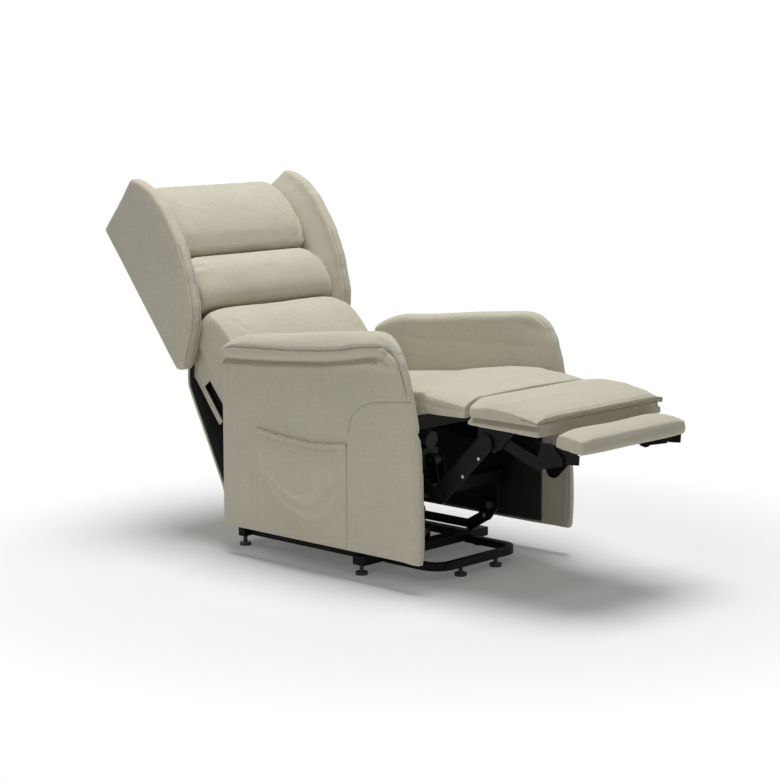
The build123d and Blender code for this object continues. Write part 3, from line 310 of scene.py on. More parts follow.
@dataclass(frozen=True)
class WovenCover(Finish):
    """A slubby plain weave: threads run along each axis that lies in the surface."""

    light: Triple
    dark: Triple
    thread: float = 0.0011
    slub: float = 0.016
    bundle: float = 0.0042
    bundle_run: float = 9.0
    drift: float = 7.0
    shares: Triple = (0.55, 0.30, 0.15)
    contrast: Pair = (0.34, 0.66)
    lying_in: float = 1.02
    roughness: float = 0.92
    specular: float = 0.15
    sheen: Pair = (0.22, 0.5)
    relief: Pair = (0.35, 0.0006)

    def threads(self, sheet: NodeSheet, width: float, length: float) -> Socket:
        """Threads along the axes that lie in the surface.

        Args:
            sheet: The material's nodes.
            width: Width of one thread.
            length: Length of its thick and thin runs.

        Returns:
            The thread pattern, from 0 to 1.
        """
        total: object = 0.0
        weight: object = 0.0
        for axis, part in enumerate(sheet.facing()):
            cycles = [1.0 / width] * 3
            cycles[axis] = 1.0 / length
            lying = sheet.calc("SUBTRACT", self.lying_in, sheet.calc("ABSOLUTE", part, 0.0))
            share = sheet.calc("POWER", lying, 2.0)
            total = sheet.calc("ADD", total, sheet.calc("MULTIPLY", share, sheet.grain(tuple(cycles), 1.0)))
            weight = sheet.calc("ADD", weight, share)
        return sheet.calc("DIVIDE", total, weight)

    def paint(self, sheet: NodeSheet) -> None:
        """Two scales of thread, a slow drift of tone and a soft sheen.

        Args:
            sheet: The material's nodes.
        """
        fine = self.threads(sheet, self.thread, self.slub)
        coarse = self.threads(sheet, self.bundle, self.bundle_run * self.bundle)
        tone: object = 0.0
        for part, share in zip((fine, coarse, sheet.grain(self.drift, 3.0)), self.shares):
            tone = sheet.calc("ADD", tone, sheet.calc("MULTIPLY", part, share))
        sheet.surface({
            "Base Color": sheet.mix(sheet.span(tone, self.contrast), self.dark, self.light),
            "Roughness": self.roughness,
            "Specular IOR Level": self.specular,
            "Sheen Weight": self.sheen[0],
            "Sheen Roughness": self.sheen[1],
        })
        sheet.bump(fine, self.relief)


@dataclass(frozen=True)
class PowderCoat(Finish):
    """Black powder coat on steel: fine peel and a trace of dust on top faces."""

    colour: Triple
    dust: Triple
    peel: float = 900.0
    patch: float = 22.0
    settling: tuple[Pair, Pair] = ((0.5, 1.0), (0.0, 0.5))
    roughness: Pair = (0.40, 0.58)
    specular: float = 0.12
    relief: Pair = (0.12, 0.0004)

    def paint(self, sheet: NodeSheet) -> None:
        """Uneven gloss, orange peel and dust where the face looks up.

        Args:
            sheet: The material's nodes.
        """
        patch = sheet.grain(self.patch, 4.0)
        settled = sheet.calc("MULTIPLY", sheet.span(sheet.facing()[2], *self.settling), patch)
        sheet.surface({
            "Base Color": sheet.mix(settled, self.colour, self.dust),
            "Roughness": sheet.span(patch, NOISE_RANGE, self.roughness),
            "Specular IOR Level": self.specular,
        })
        sheet.bump(sheet.grain(self.peel), self.relief)


@dataclass(frozen=True)
class MouldedPlastic(Finish):
    """Black moulded plastic with a spark-eroded grain."""

    colour: Triple
    spark: float = 1400.0
    patch: float = 30.0
    paler: Pair = (1.8, 0.004)
    roughness: Pair = (0.48, 0.66)
    relief: Pair = (0.2, 0.0003)

    def paint(self, sheet: NodeSheet) -> None:
        """A fine grain in gloss and bump.

        Args:
            sheet: The material's nodes.
        """
        grain = sheet.grain(self.spark)
        paler = tuple(min(1.0, self.paler[0] * part + self.paler[1]) for part in self.colour)
        sheet.surface({
            "Base Color": sheet.mix(sheet.grain(self.patch, 3.0), self.colour, paler),
            "Roughness": sheet.span(grain, NOISE_RANGE, self.roughness),
        })
        sheet.bump(grain, self.relief)


@dataclass(frozen=True)
class BrightSteel(Finish):
    """Bare or zinc-plated steel with drawn lines."""

    colour: Triple
    paler: Triple
    lines: Triple = (25.0, 1600.0, 1600.0)
    cloud: float = 60.0
    roughness: Pair = (0.24, 0.42)
    relief: Pair = (0.06, 0.0002)

    def paint(self, sheet: NodeSheet) -> None:
        """Fine drawing lines along X over cloudy plating.

        Args:
            sheet: The material's nodes.
        """
        lines = sheet.grain(self.lines)
        sheet.surface({
            "Base Color": sheet.mix(sheet.grain(self.cloud, 3.0), self.colour, self.paler),
            "Metallic": 1.0,
            "Roughness": sheet.span(lines, NOISE_RANGE, self.roughness),
        })
        sheet.bump(lines, self.relief)


@dataclass(frozen=True)
class PlainTimber(Finish):
    """Planed softwood with long grain."""

    early: Triple
    late: Triple
    rings: Triple = (6.0, 55.0, 90.0)
    pores: Triple = (40.0, 900.0, 900.0)
    pore_share: float = 0.25
    contrast: Pair = (0.35, 0.65)
    roughness: Pair = (0.6, 0.8)
    relief: Pair = (0.15, 0.0004)

    def paint(self, sheet: NodeSheet) -> None:
        """Long soft rings broken up by finer pores.

        Args:
            sheet: The material's nodes.
        """
        pores = sheet.grain(self.pores, 1.0)
        rings = sheet.span(sheet.grain(self.rings, 4.0), self.contrast, (0.0, 1 - self.pore_share))
        share = sheet.calc("ADD", rings, sheet.calc("MULTIPLY", pores, self.pore_share))
        sheet.surface({
            "Base Color": sheet.mix(share, self.early, self.late),
            "Roughness": sheet.span(pores, NOISE_RANGE, self.roughness),
        })
        sheet.bump(pores, self.relief)


@dataclass(frozen=True)
class LiningCloth(Finish):
    """Thin black lining or elastic band with a speckled, bonded surface."""

    colour: Triple
    fleck: Triple
    pitch: float = 0.0016
    fibres: Triple = (180.0, 900.0, 180.0)
    contrast: Pair = (0.5, 0.75)
    roughness: Pair = (0.75, 0.95)
    relief: Pair = (0.3, 0.0005)

    def paint(self, sheet: NodeSheet) -> None:
        """Pressed dimples and stray pale fibres.

        Args:
            sheet: The material's nodes.
        """
        cells = sheet.grain(1.0 / self.pitch)
        share = sheet.calc("MULTIPLY", sheet.span(sheet.grain(self.fibres), self.contrast), cells)
        sheet.surface({
            "Base Color": sheet.mix(share, self.colour, self.fleck),
            "Roughness": sheet.span(cells, NOISE_RANGE, self.roughness),
        })
        sheet.bump(cells, self.relief)


COVER = WovenCover("woven_cover", "cover_fabric", (0.628, 0.592, 0.482), (0.489, 0.458, 0.364))
# The seam thread's dark colour is painted shade: it darkens the seam lines, which the grooves' own shadow leaves
# too faint.
SEAM_SHADE = WovenCover("seam_thread", "cover_fabric", (0.340, 0.308, 0.238), (0.240, 0.216, 0.164))
STEEL = PowderCoat("black_powder_coat", "black_steel", (0.0050, 0.0056, 0.0056), (0.024, 0.025, 0.024))
PLASTIC = MouldedPlastic("black_moulding", "black_plastic", (0.012, 0.012, 0.013))
BOLT = BrightSteel("zinc_bolts", "bolt_steel", (0.30, 0.30, 0.31), (0.42, 0.42, 0.43))
ROD = BrightSteel("drawn_rod", "rod_steel", (0.52, 0.52, 0.53), (0.64, 0.64, 0.65))
TIMBER = PlainTimber("planed_timber", "timber", (0.560, 0.390, 0.215), (0.400, 0.255, 0.125))
WEBBING = LiningCloth("elastic_band", "elastic_webbing", (0.020, 0.020, 0.020), (0.120, 0.120, 0.115))
LINING = LiningCloth("black_lining", "elastic_webbing", (0.008, 0.008, 0.008), (0.035, 0.035, 0.036))


def link(name: str, data: bpy.types.ID) -> Piece:
    """Put a mesh, lamp or camera into the scene.

    Args:
        name: The new object's name.
        data: Its mesh, lamp or camera.

    Returns:
        The new object.
    """
    piece = bpy.data.objects.new(name, data)
    bpy.context.scene.collection.objects.link(piece)
    return piece


def smooth(piece: Piece) -> None:
    """Shade every face of a piece smoothly."""
    piece.data.polygons.foreach_set("use_smooth", [True] * len(piece.data.polygons))


def cast(name: str, shape: bmesh.types.BMesh) -> Piece:
    """Turn an edited shape into a smooth piece.

    Args:
        name: The piece's name.
        shape: The shape, which is used up.

    Returns:
        The new piece.
    """
    mesh = bpy.data.meshes.new(name)
    shape.to_mesh(mesh)
    shape.free()
    piece = link(name, mesh)
    smooth(piece)
    return piece


def evaluated(piece: Piece) -> bpy.types.Mesh:
    """A new mesh of the piece as its modifiers make it."""
    graph = bpy.context.evaluated_depsgraph_get()
    return bpy.data.meshes.new_from_object(piece.evaluated_get(graph))


def modify(piece: Piece, kind: str, **settings: object) -> None:
    """Add a modifier and apply it to the piece's mesh.

    Args:
        piece: The piece to change.
        kind: The modifier's type name.
        settings: Attributes of the modifier.
    """
    modifier = piece.modifiers.new(kind.lower(), kind)
    for name, value in settings.items():
        setattr(modifier, name, value)
    mesh = evaluated(piece)
    piece.modifiers.clear()
    piece.data = mesh


def rows(items: bpy.types.bpy_prop_collection, name: str) -> Rows:
    """A vector of every item, as rows.

    Args:
        items: The items of a mesh.
        name: The vector's name.

    Returns:
        One row for each item.
    """
    flat = np.empty(3 * len(items), np.float32)
    items.foreach_get(name, flat)
    return flat.reshape(-1, 3).astype(float)


def move_points(piece: Piece, points: Rows) -> None:
    """Write vertex positions back to a piece."""
    piece.data.vertices.foreach_set("co", points.astype(np.float32).ravel())
    piece.data.update()


class Clay:
    """A piece's points as rows, to be shaped and written back."""

    def __init__(self, piece: Piece) -> None:
        """Read a piece.

        Args:
            piece: The piece to shape.
        """
        self.piece = piece
        self.points = rows(piece.data.vertices, "co")
        self.normals = rows(piece.data.vertex_normals, "vector")
        # x and y stay as they were read, while z follows the points.
        self.x = self.points[:, 0] - ARM_REAR_X
        self.y = np.abs(self.points[:, 1])
        self.z = self.points[:, 2]

    def write(self) -> None:
        """Write the points back."""
        move_points(self.piece, self.points)


def spread(piece: Piece, values: Rows, rounds: int, share: float = 0.5) -> Rows:
    """Even out values that stand on a mesh's points.

    Args:
        piece: The piece with the mesh.
        values: One row for each point.
        rounds: How often to average with the neighbours.
        share: How far each value moves towards that average.

    Returns:
        The evened values.
    """
    mesh = piece.data
    ends = np.empty(2 * len(mesh.edges), np.int32)
    mesh.edges.foreach_get("vertices", ends)
    first, second = ends.reshape(-1, 2).T
    count = np.bincount(ends, minlength=len(mesh.vertices)).clip(1)[:, None]
    for _ in range(rounds):
        total = np.zeros_like(values)
        np.add.at(total, first, values[second])
        np.add.at(total, second, values[first])
        values = values + share * (total / count - values)
    return values


def relax(piece: Piece, rounds: int) -> None:
    """Even a mesh out by moving each point towards its neighbours."""
    move_points(piece, spread(piece, rows(piece.data.vertices, "co"), rounds))


def spline(points: Sequence[Vector], step: float) -> list[Vector]:
    """A smooth path through points.

    Args:
        points: Places that the path passes through.
        step: Distance between the path's own points.

    Returns:
        Evenly spaced points along the path.
    """
    ends = [points[0] * 2 - points[1], *points, points[-1] * 2 - points[-2]]
    path = []
    for a, b, c, d in zip(ends, ends[1:], ends[2:], ends[3:]):
        count = max(2, int((c - b).length / step))
        for index in range(count):
            t = index / count
            tail = (2 * a - 5 * b + 4 * c - d) * t * t + (3 * b - a - 3 * c + d) * t * t * t
            path.append(0.5 * (2 * b + (c - a) * t + tail))
    path.append(points[-1].copy())
    return path


def mirrored(path: Sequence[Vector]) -> list[Vector]:
    """A path on the chair's other side, run the other way."""
    return [Vector((spot.x, -spot.y, spot.z)) for spot in reversed(path)]


def length_of(path: Sequence[Vector]) -> float:
    """The length of a path."""
    return sum((b - a).length for a, b in zip(path, path[1:]))


def tree_of(piece: Piece) -> BVHTree:
    """A search tree over a piece's surface."""
    corners = [polygon.vertices[:] for polygon in piece.data.polygons]
    return BVHTree.FromPolygons([vert.co.copy() for vert in piece.data.vertices], corners)


def tube(name: str, path: Sequence[Vector], radius: float, sides: int = 6) -> Piece:
    """A round cord along a path, as a mesh.

    Args:
        name: The object's name.
        path: Places along the middle.
        radius: Half the thickness.
        sides: Sides of the section.

    Returns:
        The new object.
    """
    askew = Vector((0.31, 0.17, 0.93))  # a direction that no cord here runs in
    turns = [2 * math.pi * k / sides for k in range(sides)]
    shape = bmesh.new()
    rings = []
    for index, place in enumerate(path):
        ahead = path[min(index + 1, len(path) - 1)] - path[max(index - 1, 0)]
        ahead = ahead.normalized() if ahead.length > 1e-9 else Vector((1, 0, 0))
        side = ahead.cross(askew).normalized()
        up = side.cross(ahead)
        rings.append([shape.verts.new(place + radius * (math.cos(t) * side + math.sin(t) * up)) for t in turns])
    for ring, after in zip(rings, rings[1:]):
        for k in range(sides):
            shape.faces.new((ring[k], ring[(k + 1) % sides], after[(k + 1) % sides], after[k]))
    shape.faces.new(rings[0][::-1])
    shape.faces.new(rings[-1])
    return cast(name, shape)


@dataclass(frozen=True)
class SeamStyle:
    """How a sewn seam sinks into padding; the shoulder's place and width are counted in seam widths."""

    width: float = 0.0035
    depth: float = 0.0030
    plump: float = 0.30
    shoulder: Pair = (2.4, 1.3)
    pucker: float = 0.25
    pitch: float = 0.016
    fade: float = 0.012
    # thread: half the thickness of the dark cord whose colour is painted shade in the seam's groove; 0 lays none
    thread: float = 0.0009


class Needle:
    """Sews seams and pulls pleats into a padded piece's mesh."""

    MARGIN = 4  # how far a seam acts, in seam widths
    NOISE_ROW = 7.3  # keeps the puckers of a piece's seams apart
    NOISE_LEVEL = 0.5
    PLEAT_PEAK = 6.75  # brings a pleat's profile to 1 at its top

    def __init__(self, piece: Piece, body: str) -> None:
        """Work on one piece.

        Args:
            piece: The padded mesh.
            body: The body that the seam threads ride on.
        """
        self.piece = piece
        self.body = body
        self.count = 0

    def on_skin(self, path: Sequence[Vector]) -> list[Vector]:
        """The nearest places on the piece's skin to a path."""
        tree = tree_of(self.piece)
        return [tree.find_nearest(place)[0] for place in path]

    def measure(self, points: Rows, line: Rows) -> tuple[Rows, Rows]:
        """Find how far points are from a seam.

        Args:
            points: The points to measure.
            line: Places along the seam.

        Returns:
            Each point's distance, and the number of its nearest place.
        """
        gap, along = np.full(len(points), 1.0), np.zeros(len(points), int)
        for start in range(0, len(line), NEAREST_BLOCK):
            apart = np.linalg.norm(points[:, None] - line[None, start:start + NEAREST_BLOCK], axis=2)
            best = apart.argmin(1)
            least = apart[np.arange(len(points)), best]
            closer = least < gap
            gap[closer] = least[closer]
            along[closer] = best[closer] + start
        return gap, along

    def sew(self, route: Sequence[Vector], style: SeamStyle) -> None:
        """Press a seam into the skin and lay its thread, a dark cord of painted shade, in the groove.

        Args:
            route: Places near the skin that the seam passes.
            style: The seam's sizes.
        """
        path = self.on_skin(spline(route, SEAM_STEP))
        line, clay = np.array(path), Clay(self.piece)
        margin = self.MARGIN * style.width
        inside = (clay.points > line.min(0) - margin) & (clay.points < line.max(0) + margin)
        near = np.flatnonzero(inside.all(1))
        gap, along = self.measure(clay.points[near], line)
        row = self.count * self.NOISE_ROW
        marks = [Vector((i * SEAM_STEP / style.pitch, row, self.NOISE_LEVEL)) for i in range(len(line))]
        ripple = np.array([noise.noise(mark) for mark in marks])
        order = np.arange(len(line))
        fade = np.clip(np.minimum(order, order[::-1]) * SEAM_STEP / style.fade, 0.0, 1.0)
        place, width = (part * style.width for part in style.shoulder)
        sink = style.depth * np.exp(-(gap / style.width) ** 2)
        swell = style.plump * style.depth * np.exp(-((gap - place) / width) ** 2)
        amount = (swell * (1 + 2 * style.pucker * ripple[along]) - sink) * fade[along]
        clay.points[near] += clay.normals[near] * amount[:, None]
        clay.write()
        if style.thread > 0:
            self.lay_thread(path, style.thread)
        self.count += 1

    def lay_thread(self, path: Sequence[Vector], radius: float) -> None:
        """Lay a thin dark cord in a seam's groove; its dark colour is painted shade along the seam line.

        Args:
            path: Places along the seam.
            radius: Half the cord's thickness.
        """
        thread = tube(f"{self.piece.name}_seam_{self.count}", self.on_skin(path), radius)
        SEAM_SHADE.dress(thread)
        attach(thread, self.body)

    def pleat(self, centre: Vector, reach: float, height: float, count: int) -> None:
        """Pull soft folds that fan out from a point.

        Args:
            centre: Where the folds meet.
            reach: How far they run.
            height: Their height.
            count: Folds in a full turn.
        """
        spot, facing, _, _ = tree_of(self.piece).find_nearest(centre)
        side = facing.orthogonal().normalized()
        clay = Clay(self.piece)
        away = clay.points - np.array(spot)
        gap = np.linalg.norm(away, axis=1)
        angle = np.arctan2(away @ np.array(facing.cross(side)), away @ np.array(side))
        share = np.clip(gap / reach, 0, 1)
        shape = self.PLEAT_PEAK * share * (1 - share) ** 2 * np.cos(count * angle)
        outward = np.clip(clay.normals @ np.array(facing), 0, 1)
        near = gap < reach
        clay.points[near] += (clay.normals * (height * shape * outward)[:, None])[near]
        clay.write()


@dataclass
class Padding:
    """A padded piece grown from CAD solids: an even skin, swollen by cloth under pressure."""

    name: str
    nodes: Sequence[str]
    body: str
    voxel: float = 0.0055
    soften: int = 2
    shrink: float = 0.003
    cap: float = 0.012
    fill: float = 0.7
    frames: int = 20
    slide: float = 0.15
    slide_cap: float = 0.004
    settle: int = 24
    divide: bool = True
    rests: Optional[Mask] = None
    cloth: dict[str, float] = field(default_factory=lambda: {
        "quality": 3, "mass": 0.25, "tension_stiffness": 18.0, "compression_stiffness": 18.0,
        "shear_stiffness": 8.0, "bending_stiffness": 0.6, "use_pressure": True, "uniform_pressure_force": 4.0,
    })

    def skin(self) -> Piece:
        """Join copies of the solids and cover them with one even mesh.

        Returns:
            The new object.
        """
        shape = bmesh.new()
        for node in self.nodes:
            shape.from_mesh(frame["nodes"][node].data)
        bmesh.ops.remove_doubles(shape, verts=shape.verts, dist=1e-5)
        piece = cast(self.name, shape)
        modify(piece, "REMESH", mode="VOXEL", voxel_size=self.voxel)
        relax(piece, self.soften)
        return piece

    def blow_up(self, piece: Piece, held: Rows) -> Rows:
        """Run the cloth under pressure.

        Args:
            piece: The skin.
            held: Which points rest on something and stay put.

        Returns:
            Where the cloth's points come to lie.
        """
        group = piece.vertex_groups.new(name="resting")
        group.add(np.flatnonzero(held).tolist(), 1.0, "REPLACE")
        cloth = piece.modifiers.new("stuffing", "CLOTH")
        for name, value in self.cloth.items():
            setattr(cloth.settings, name, value)
        cloth.settings.effector_weights.gravity = 0.0
        cloth.settings.vertex_group_mass = group.name
        cloth.collision_settings.use_collision = False
        cloth.point_cache.frame_start = 1
        cloth.point_cache.frame_end = self.frames
        for step in range(1, self.frames + 1):
            bpy.context.scene.frame_set(step)
        mesh = evaluated(piece)
        blown = rows(mesh.vertices, "co")
        piece.modifiers.remove(cloth)
        piece.vertex_groups.clear()
        bpy.context.scene.frame_set(1)
        bpy.data.meshes.remove(mesh)
        return blown

    def swell(self, piece: Piece) -> None:
        """Swell the skin as stuffed cloth, up to the cap.

        Args:
            piece: The skin to swell in place.
        """
        clay = Clay(piece)
        first, facing = clay.points, clay.normals
        held = self.rests(first) if self.rests else np.zeros(len(first), bool)
        start = np.where(held[:, None], first, first - facing * self.shrink)
        move_points(piece, start)
        moved = self.blow_up(piece, held) - start
        rise = (moved * facing).sum(1, keepdims=True)
        aside = self.slide * (moved - rise * facing)
        rise = self.cap * np.tanh(rise.clip(0) / self.cap)
        total = start + rise * facing + aside.clip(-self.slide_cap, self.slide_cap) - first
        move_points(piece, first + spread(piece, total, self.settle))

    def grow(self) -> Piece:
        """Make the whole padded piece, dressed and riding on its body.

        Returns:
            The finished piece, ready for seams.
        """
        piece = self.skin()
        if self.frames:
            self.swell(piece)
        relax(piece, 1)
        if self.divide:
            modify(piece, "SUBSURF", levels=1, subdivision_type="SIMPLE")
            relax(piece, 2)
        smooth(piece)
        COVER.dress(piece)
        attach(piece, self.body)
        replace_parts(piece, *self.nodes)
        log.info("%s: %d points", self.name, len(piece.data.vertices))
        return piece


def resting(direction: Vector, depth: float) -> Mask:
    """Points near a piece's lowest side in a direction.

    Args:
        direction: The way that faces up from the rest.
        depth: How deep the held layer is.

    Returns:
        A function that picks the held points.
    """
    ahead = np.array(direction)

    def pick(points: Rows) -> Rows:
        """Points within the layer."""
        level = points @ ahead
        return level < level.min() + depth

    return pick


def lay(name: str, cells: tuple[int, int], place: Spot, thickness: float, finish: Finish,
        outside: Optional[Finish] = None, keep: Callable[[float, float], bool] = lambda s, t: True) -> Piece:
    """A sheet of cloth made of square cells.

    Args:
        name: The object's name.
        cells: Cells across and along.
        place: Where a point lies, from its shares across and along.
        thickness: The cloth's thickness.
        finish: The cloth's finish.
        outside: Finish of its other face, where that differs.
        keep: Which cells are there, from the shares of a cell's middle.

    Returns:
        The dressed sheet.
    """
    across, along = cells
    spots = [place(i / across, j / along) for j in range(along + 1) for i in range(across + 1)]
    step = across + 1
    faces = [(j * step + i, j * step + i + 1, (j + 1) * step + i + 1, (j + 1) * step + i)
             for j in range(along) for i in range(across) if keep((i + 0.5) / across, (j + 0.5) / along)]
    mesh = bpy.data.meshes.new(name)
    mesh.from_pydata(spots, [], faces)
    shape = bmesh.new()
    shape.from_mesh(mesh)
    bpy.data.meshes.remove(mesh)
    bmesh.ops.delete(shape, geom=[vert for vert in shape.verts if not vert.link_faces], context="VERTS")
    piece = cast(name, shape)
    finish.dress(piece)
    if outside:
        piece.data.materials.append(outside.material())
    modify(piece, "SOLIDIFY", thickness=thickness, offset=0.0, material_offset=len(piece.data.materials) - 1)
    smooth(piece)
    return piece


@dataclass(frozen=True)
class BackCushion:
    """Sizes of one back cushion.

    Its cloth rises by the cap. Filled, it is twice the half wide between the heights of the span, and its face
    falls back by the drop at its ends; full is how much its lower half fills out towards its crest. The pull is
    a crease of a given depth. Places are distances forward, left and up in the back's own plane.
    """

    cap: float
    half: float
    drop: float
    span: Pair
    full: float
    pull: Sequence[Triple]
    depth: float


CUSHIONS = {
    "lower_back_cushion": BackCushion(
        0.008, 0.283, 0.016, (0.130, 0.262), 0.0,
        ((0.05, -0.240, 0.262), (0.05, -0.222, 0.230), (0.05, -0.195, 0.196)), 0.0016),
    "lumbar_cushion": BackCushion(
        0.006, 0.268, 0.026, (0.300, 0.480), 0.50,
        ((0.02, -0.268, 0.452), (0.04, -0.246, 0.442), (0.05, -0.215, 0.438)), 0.0026),
    "head_cushion": BackCushion(
        0.005, 0.265, 0.026, (0.480, 0.720), 0.25,
        ((0.05, 0.236, 0.500), (0.05, 0.238, 0.535), (0.05, 0.240, 0.585)), 0.0030),
}


@dataclass
class Backrest:
    """The reclining back: three cushions, two wings, outside back, rear flap, side strips and apron.

    Lines of the wings are heights up the back with distances forward of the hinge; those of flap and apron are
    distances forward of the arms' rear edge with heights above the floor.
    """

    recline: float = math.radians(38.7)
    cushion_rest: float = 0.030
    cushion_relax: int = 14
    crest_marks: int = 60
    crest_half: float = 0.05
    crest_reach: float = 0.006
    crest_least: float = -0.2
    crest_fill: tuple[Pair, Pair] = ((0.0, 0.32), (0.45, 0.75))
    end_fall: Pair = (0.76, 0.24)
    face_turn: Pair = (0.05, 0.50)
    face_lift: float = 0.045
    widen_u: float = 0.06
    widen_y: Pair = (0.12, 0.24)
    wing_outer: float = 0.327
    wing_cad: Line = mm(
        (192, -116), (226, -40), (246, 0), (278, 40), (304, 66), (370, 92), (435, 103), (570, 106), (630, 98),
        (674, 82), (718, 58), (748, 32))
    wing_outline: Line = mm(
        (196, -122), (226, -78), (248, -42), (278, -8), (306, 15), (358, 42), (415, 66), (490, 82), (570, 92),
        (620, 93), (674, 83), (720, 60), (752, 30))
    wing_near: float = 1.05
    wing_taper: float = 0.42
    taper_w: Pair = (-0.085, -0.004)
    wing_rear: float = 0.010
    rear_w: Pair = (-0.155, -0.060)
    wing_rise: float = 0.006
    rise_u: Pair = (0.64, 0.74)
    wing_spread: float = 0.003
    spread_depth: Pair = (0.03, 0.0)
    border_top: float = 0.50
    border_seams: Line = mm((-4, 2), (2, 30))
    panel_w: float = -0.147
    panel_half: float = 0.262
    panel_u: Pair = (0.206, 0.700)
    panel_crown: float = 0.008
    crown_power: int = 12
    panel_cloth: float = 0.003
    flap_path: Line = mm((-10, 92), (-28, 140), (-68, 222), (-122, 328), (-176, 433), (-189, 470), (-188, 520))
    flap_half: float = 0.285
    flap_foot: float = 0.297
    flap_taper: float = 0.22
    flap_hem: float = 0.0032
    apron_half: float = 0.238
    apron_cloth: float = 0.0016
    apron_ends: Line = mm((92, 466), (-9, 462))
    boxing_y: float = 0.2634
    boxing_w: Pair = (-0.168, -0.030)
    boxing_u: Pair = (0.022, 0.262)
    boxing_rear: float = 0.009
    window_w: Pair = (-0.150, -0.118)
    window_u: float = 0.143

    def place(self, w: float, y: float, u: float) -> Vector:
        """A place by its distances forward of the hinge, left and up, in the back's own plane."""
        lean, rise = math.sin(self.recline), math.cos(self.recline)
        return HINGE + Vector((w * rise - u * lean, y, w * lean + u * rise))

    @property
    def forward(self) -> Vector:
        """The way the back's cushions face."""
        return Vector((math.cos(self.recline), 0, math.sin(self.recline)))

    @property
    def upward(self) -> Vector:
        """The way up the back."""
        return Vector((-math.sin(self.recline), 0, math.cos(self.recline)))

    def in_plane(self, points: Rows) -> tuple[Rows, Rows]:
        """How far points lie forward of the hinge and up the back."""
        away = points - np.array(HINGE)
        return away @ np.array(self.forward), away @ np.array(self.upward)

    def build(self) -> None:
        """Make and dress every soft piece of the back."""
        for node, sizes in CUSHIONS.items():
            self.cushion(node, sizes)
        for side in Side:
            self.wing(side)
            self.side_boxing(side)
        self.outside_back()
        self.flap()
        self.apron()

    def cushion(self, node: str, sizes: BackCushion) -> None:
        """Swell one back cushion and pull its crease.

        Args:
            node: The cushion's CAD node.
            sizes: The cushion's sizes.
        """
        rests = resting(self.forward, self.cushion_rest)
        piece = Padding(f"{node}_cover", [node], "backrest", cap=sizes.cap, rests=rests, fill=0.75).grow()
        self.square_ends(piece, sizes)
        relax(piece, self.cushion_relax)
        style = SeamStyle(width=0.008, depth=sizes.depth, plump=0.5, pucker=0.0, thread=0.0)
        Needle(piece, "backrest").sew([self.place(*spot) for spot in sizes.pull], style)

    def square_ends(self, piece: Piece, sizes: BackCushion) -> None:
        """Fill a cushion's ends out, so that it stays thick until close to its sides.

        Args:
            piece: The cushion's cover.
            sizes: The cushion's sizes.
        """
        clay, ahead = Clay(piece), np.array(self.forward)
        (w, u), y = self.in_plane(clay.points), clay.y
        marks = np.linspace(u.min(), u.max(), self.crest_marks)
        middle = y < self.crest_half
        crest = skyline(u[middle], w[middle], marks, self.crest_reach, self.crest_least)
        along = (marks - marks[0]) / (marks[-1] - marks[0])
        crest += sizes.full * (crest.max() - crest) * hump(along, *self.crest_fill)
        fall = sizes.drop * np.clip((y / y.max() - self.end_fall[0]) / self.end_fall[1], 0, 1) ** 2
        target = np.interp(u, marks, crest) - fall
        share = ramp(clay.normals @ ahead, *self.face_turn)
        lift = (share * (target - w)).clip(0.0, self.face_lift)
        low, high = sizes.span
        wide = hump(u, (low - self.widen_u, low), (high, high + self.widen_u))
        clay.points += lift[:, None] * ahead
        clay.points[:, 1] *= 1 + (sizes.half / y.max() - 1) * wide * ramp(y, *self.widen_y)
        clay.write()

    def wing(self, side: Side) -> None:
        """Cover one wing, with a border strip round its front edge.

        Args:
            side: Which wing.
        """
        word = side.word
        piece = Padding(f"{word}_wing_cover", [f"{word}_wing"], "backrest", cap=0.006, fill=0.85).grow()
        self.thin_front(piece, side)
        needle = Needle(piece, "backrest")
        for ahead, inset in self.border_seams:
            y = side.value * (self.wing_outer - inset)
            route = [self.place(w + ahead, y, u) for u, w in self.wing_outline if u < self.border_top]
            needle.sew(route, SeamStyle(pucker=1.1, depth=0.0022, thread=0.0006))

    def thin_front(self, piece: Piece, side: Side) -> None:
        """Draw the wing's inner side out towards its front edge, which is thinner than its root.

        Args:
            piece: The wing's cover.
            side: Which wing.
        """
        clay = Clay(piece)
        w, u = self.in_plane(clay.points)
        cad, seen = follow(self.wing_cad, u), follow(self.wing_outline, u)
        near = np.clip((w - self.panel_w) / (cad - self.panel_w), 0, self.wing_near)
        depth = self.wing_outer - clay.y
        thin = self.wing_taper * ramp(w - cad, *self.taper_w)
        shift = near * (seen - cad) - self.wing_rear * (1 - ramp(w, *self.rear_w))
        rise = self.wing_rise * ramp(u, *self.rise_u)
        clay.points += shift[:, None] * np.array(self.forward)
        clay.points += rise[:, None] * np.array(self.upward)
        apart = self.wing_spread * ramp(depth, *self.spread_depth)
        clay.points[:, 1] += side.value * (depth.clip(0) * thin + apart)
        clay.write()

    def side_boxing(self, side: Side) -> None:
        """The cover on the low side of the back, with a slot where the steel bracket shows.

        Args:
            side: Which side of the back.
        """
        (w0, w1), (u0, u1) = self.boxing_w, self.boxing_u
        window = self.window_w

        def spot(s: float, t: float) -> Vector:
            """Nearly flat, with a soft pull towards the wing.

            Args:
                s: Share across the sheet.
                t: Share along it.

            Returns:
                The place in the shared frame.
            """
            pull = 0.0006 * math.sin(7 * s + 9 * t) + 0.014 * s * s * math.sin(math.pi * t) ** 2
            rear = w0 - self.boxing_rear * ramp(t, 0.6, 1.0)
            return self.place(rear + s * (w1 - rear), side.value * (self.boxing_y + pull), u0 + t * (u1 - u0))

        def keep(s: float, t: float) -> bool:
            """All but the bracket's slot."""
            w, u = w0 + s * (w1 - w0), u0 + t * (u1 - u0)
            return not (window[0] < w < window[1] and u < self.window_u)

        piece = lay(f"{side.word}_back_side_boxing", (69, 98), spot, COVER_CLOTH, COVER, keep=keep)
        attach(piece, "backrest")

    def outside_back(self) -> None:
        """The panel that closes the back of the frame."""
        low, high = self.panel_u

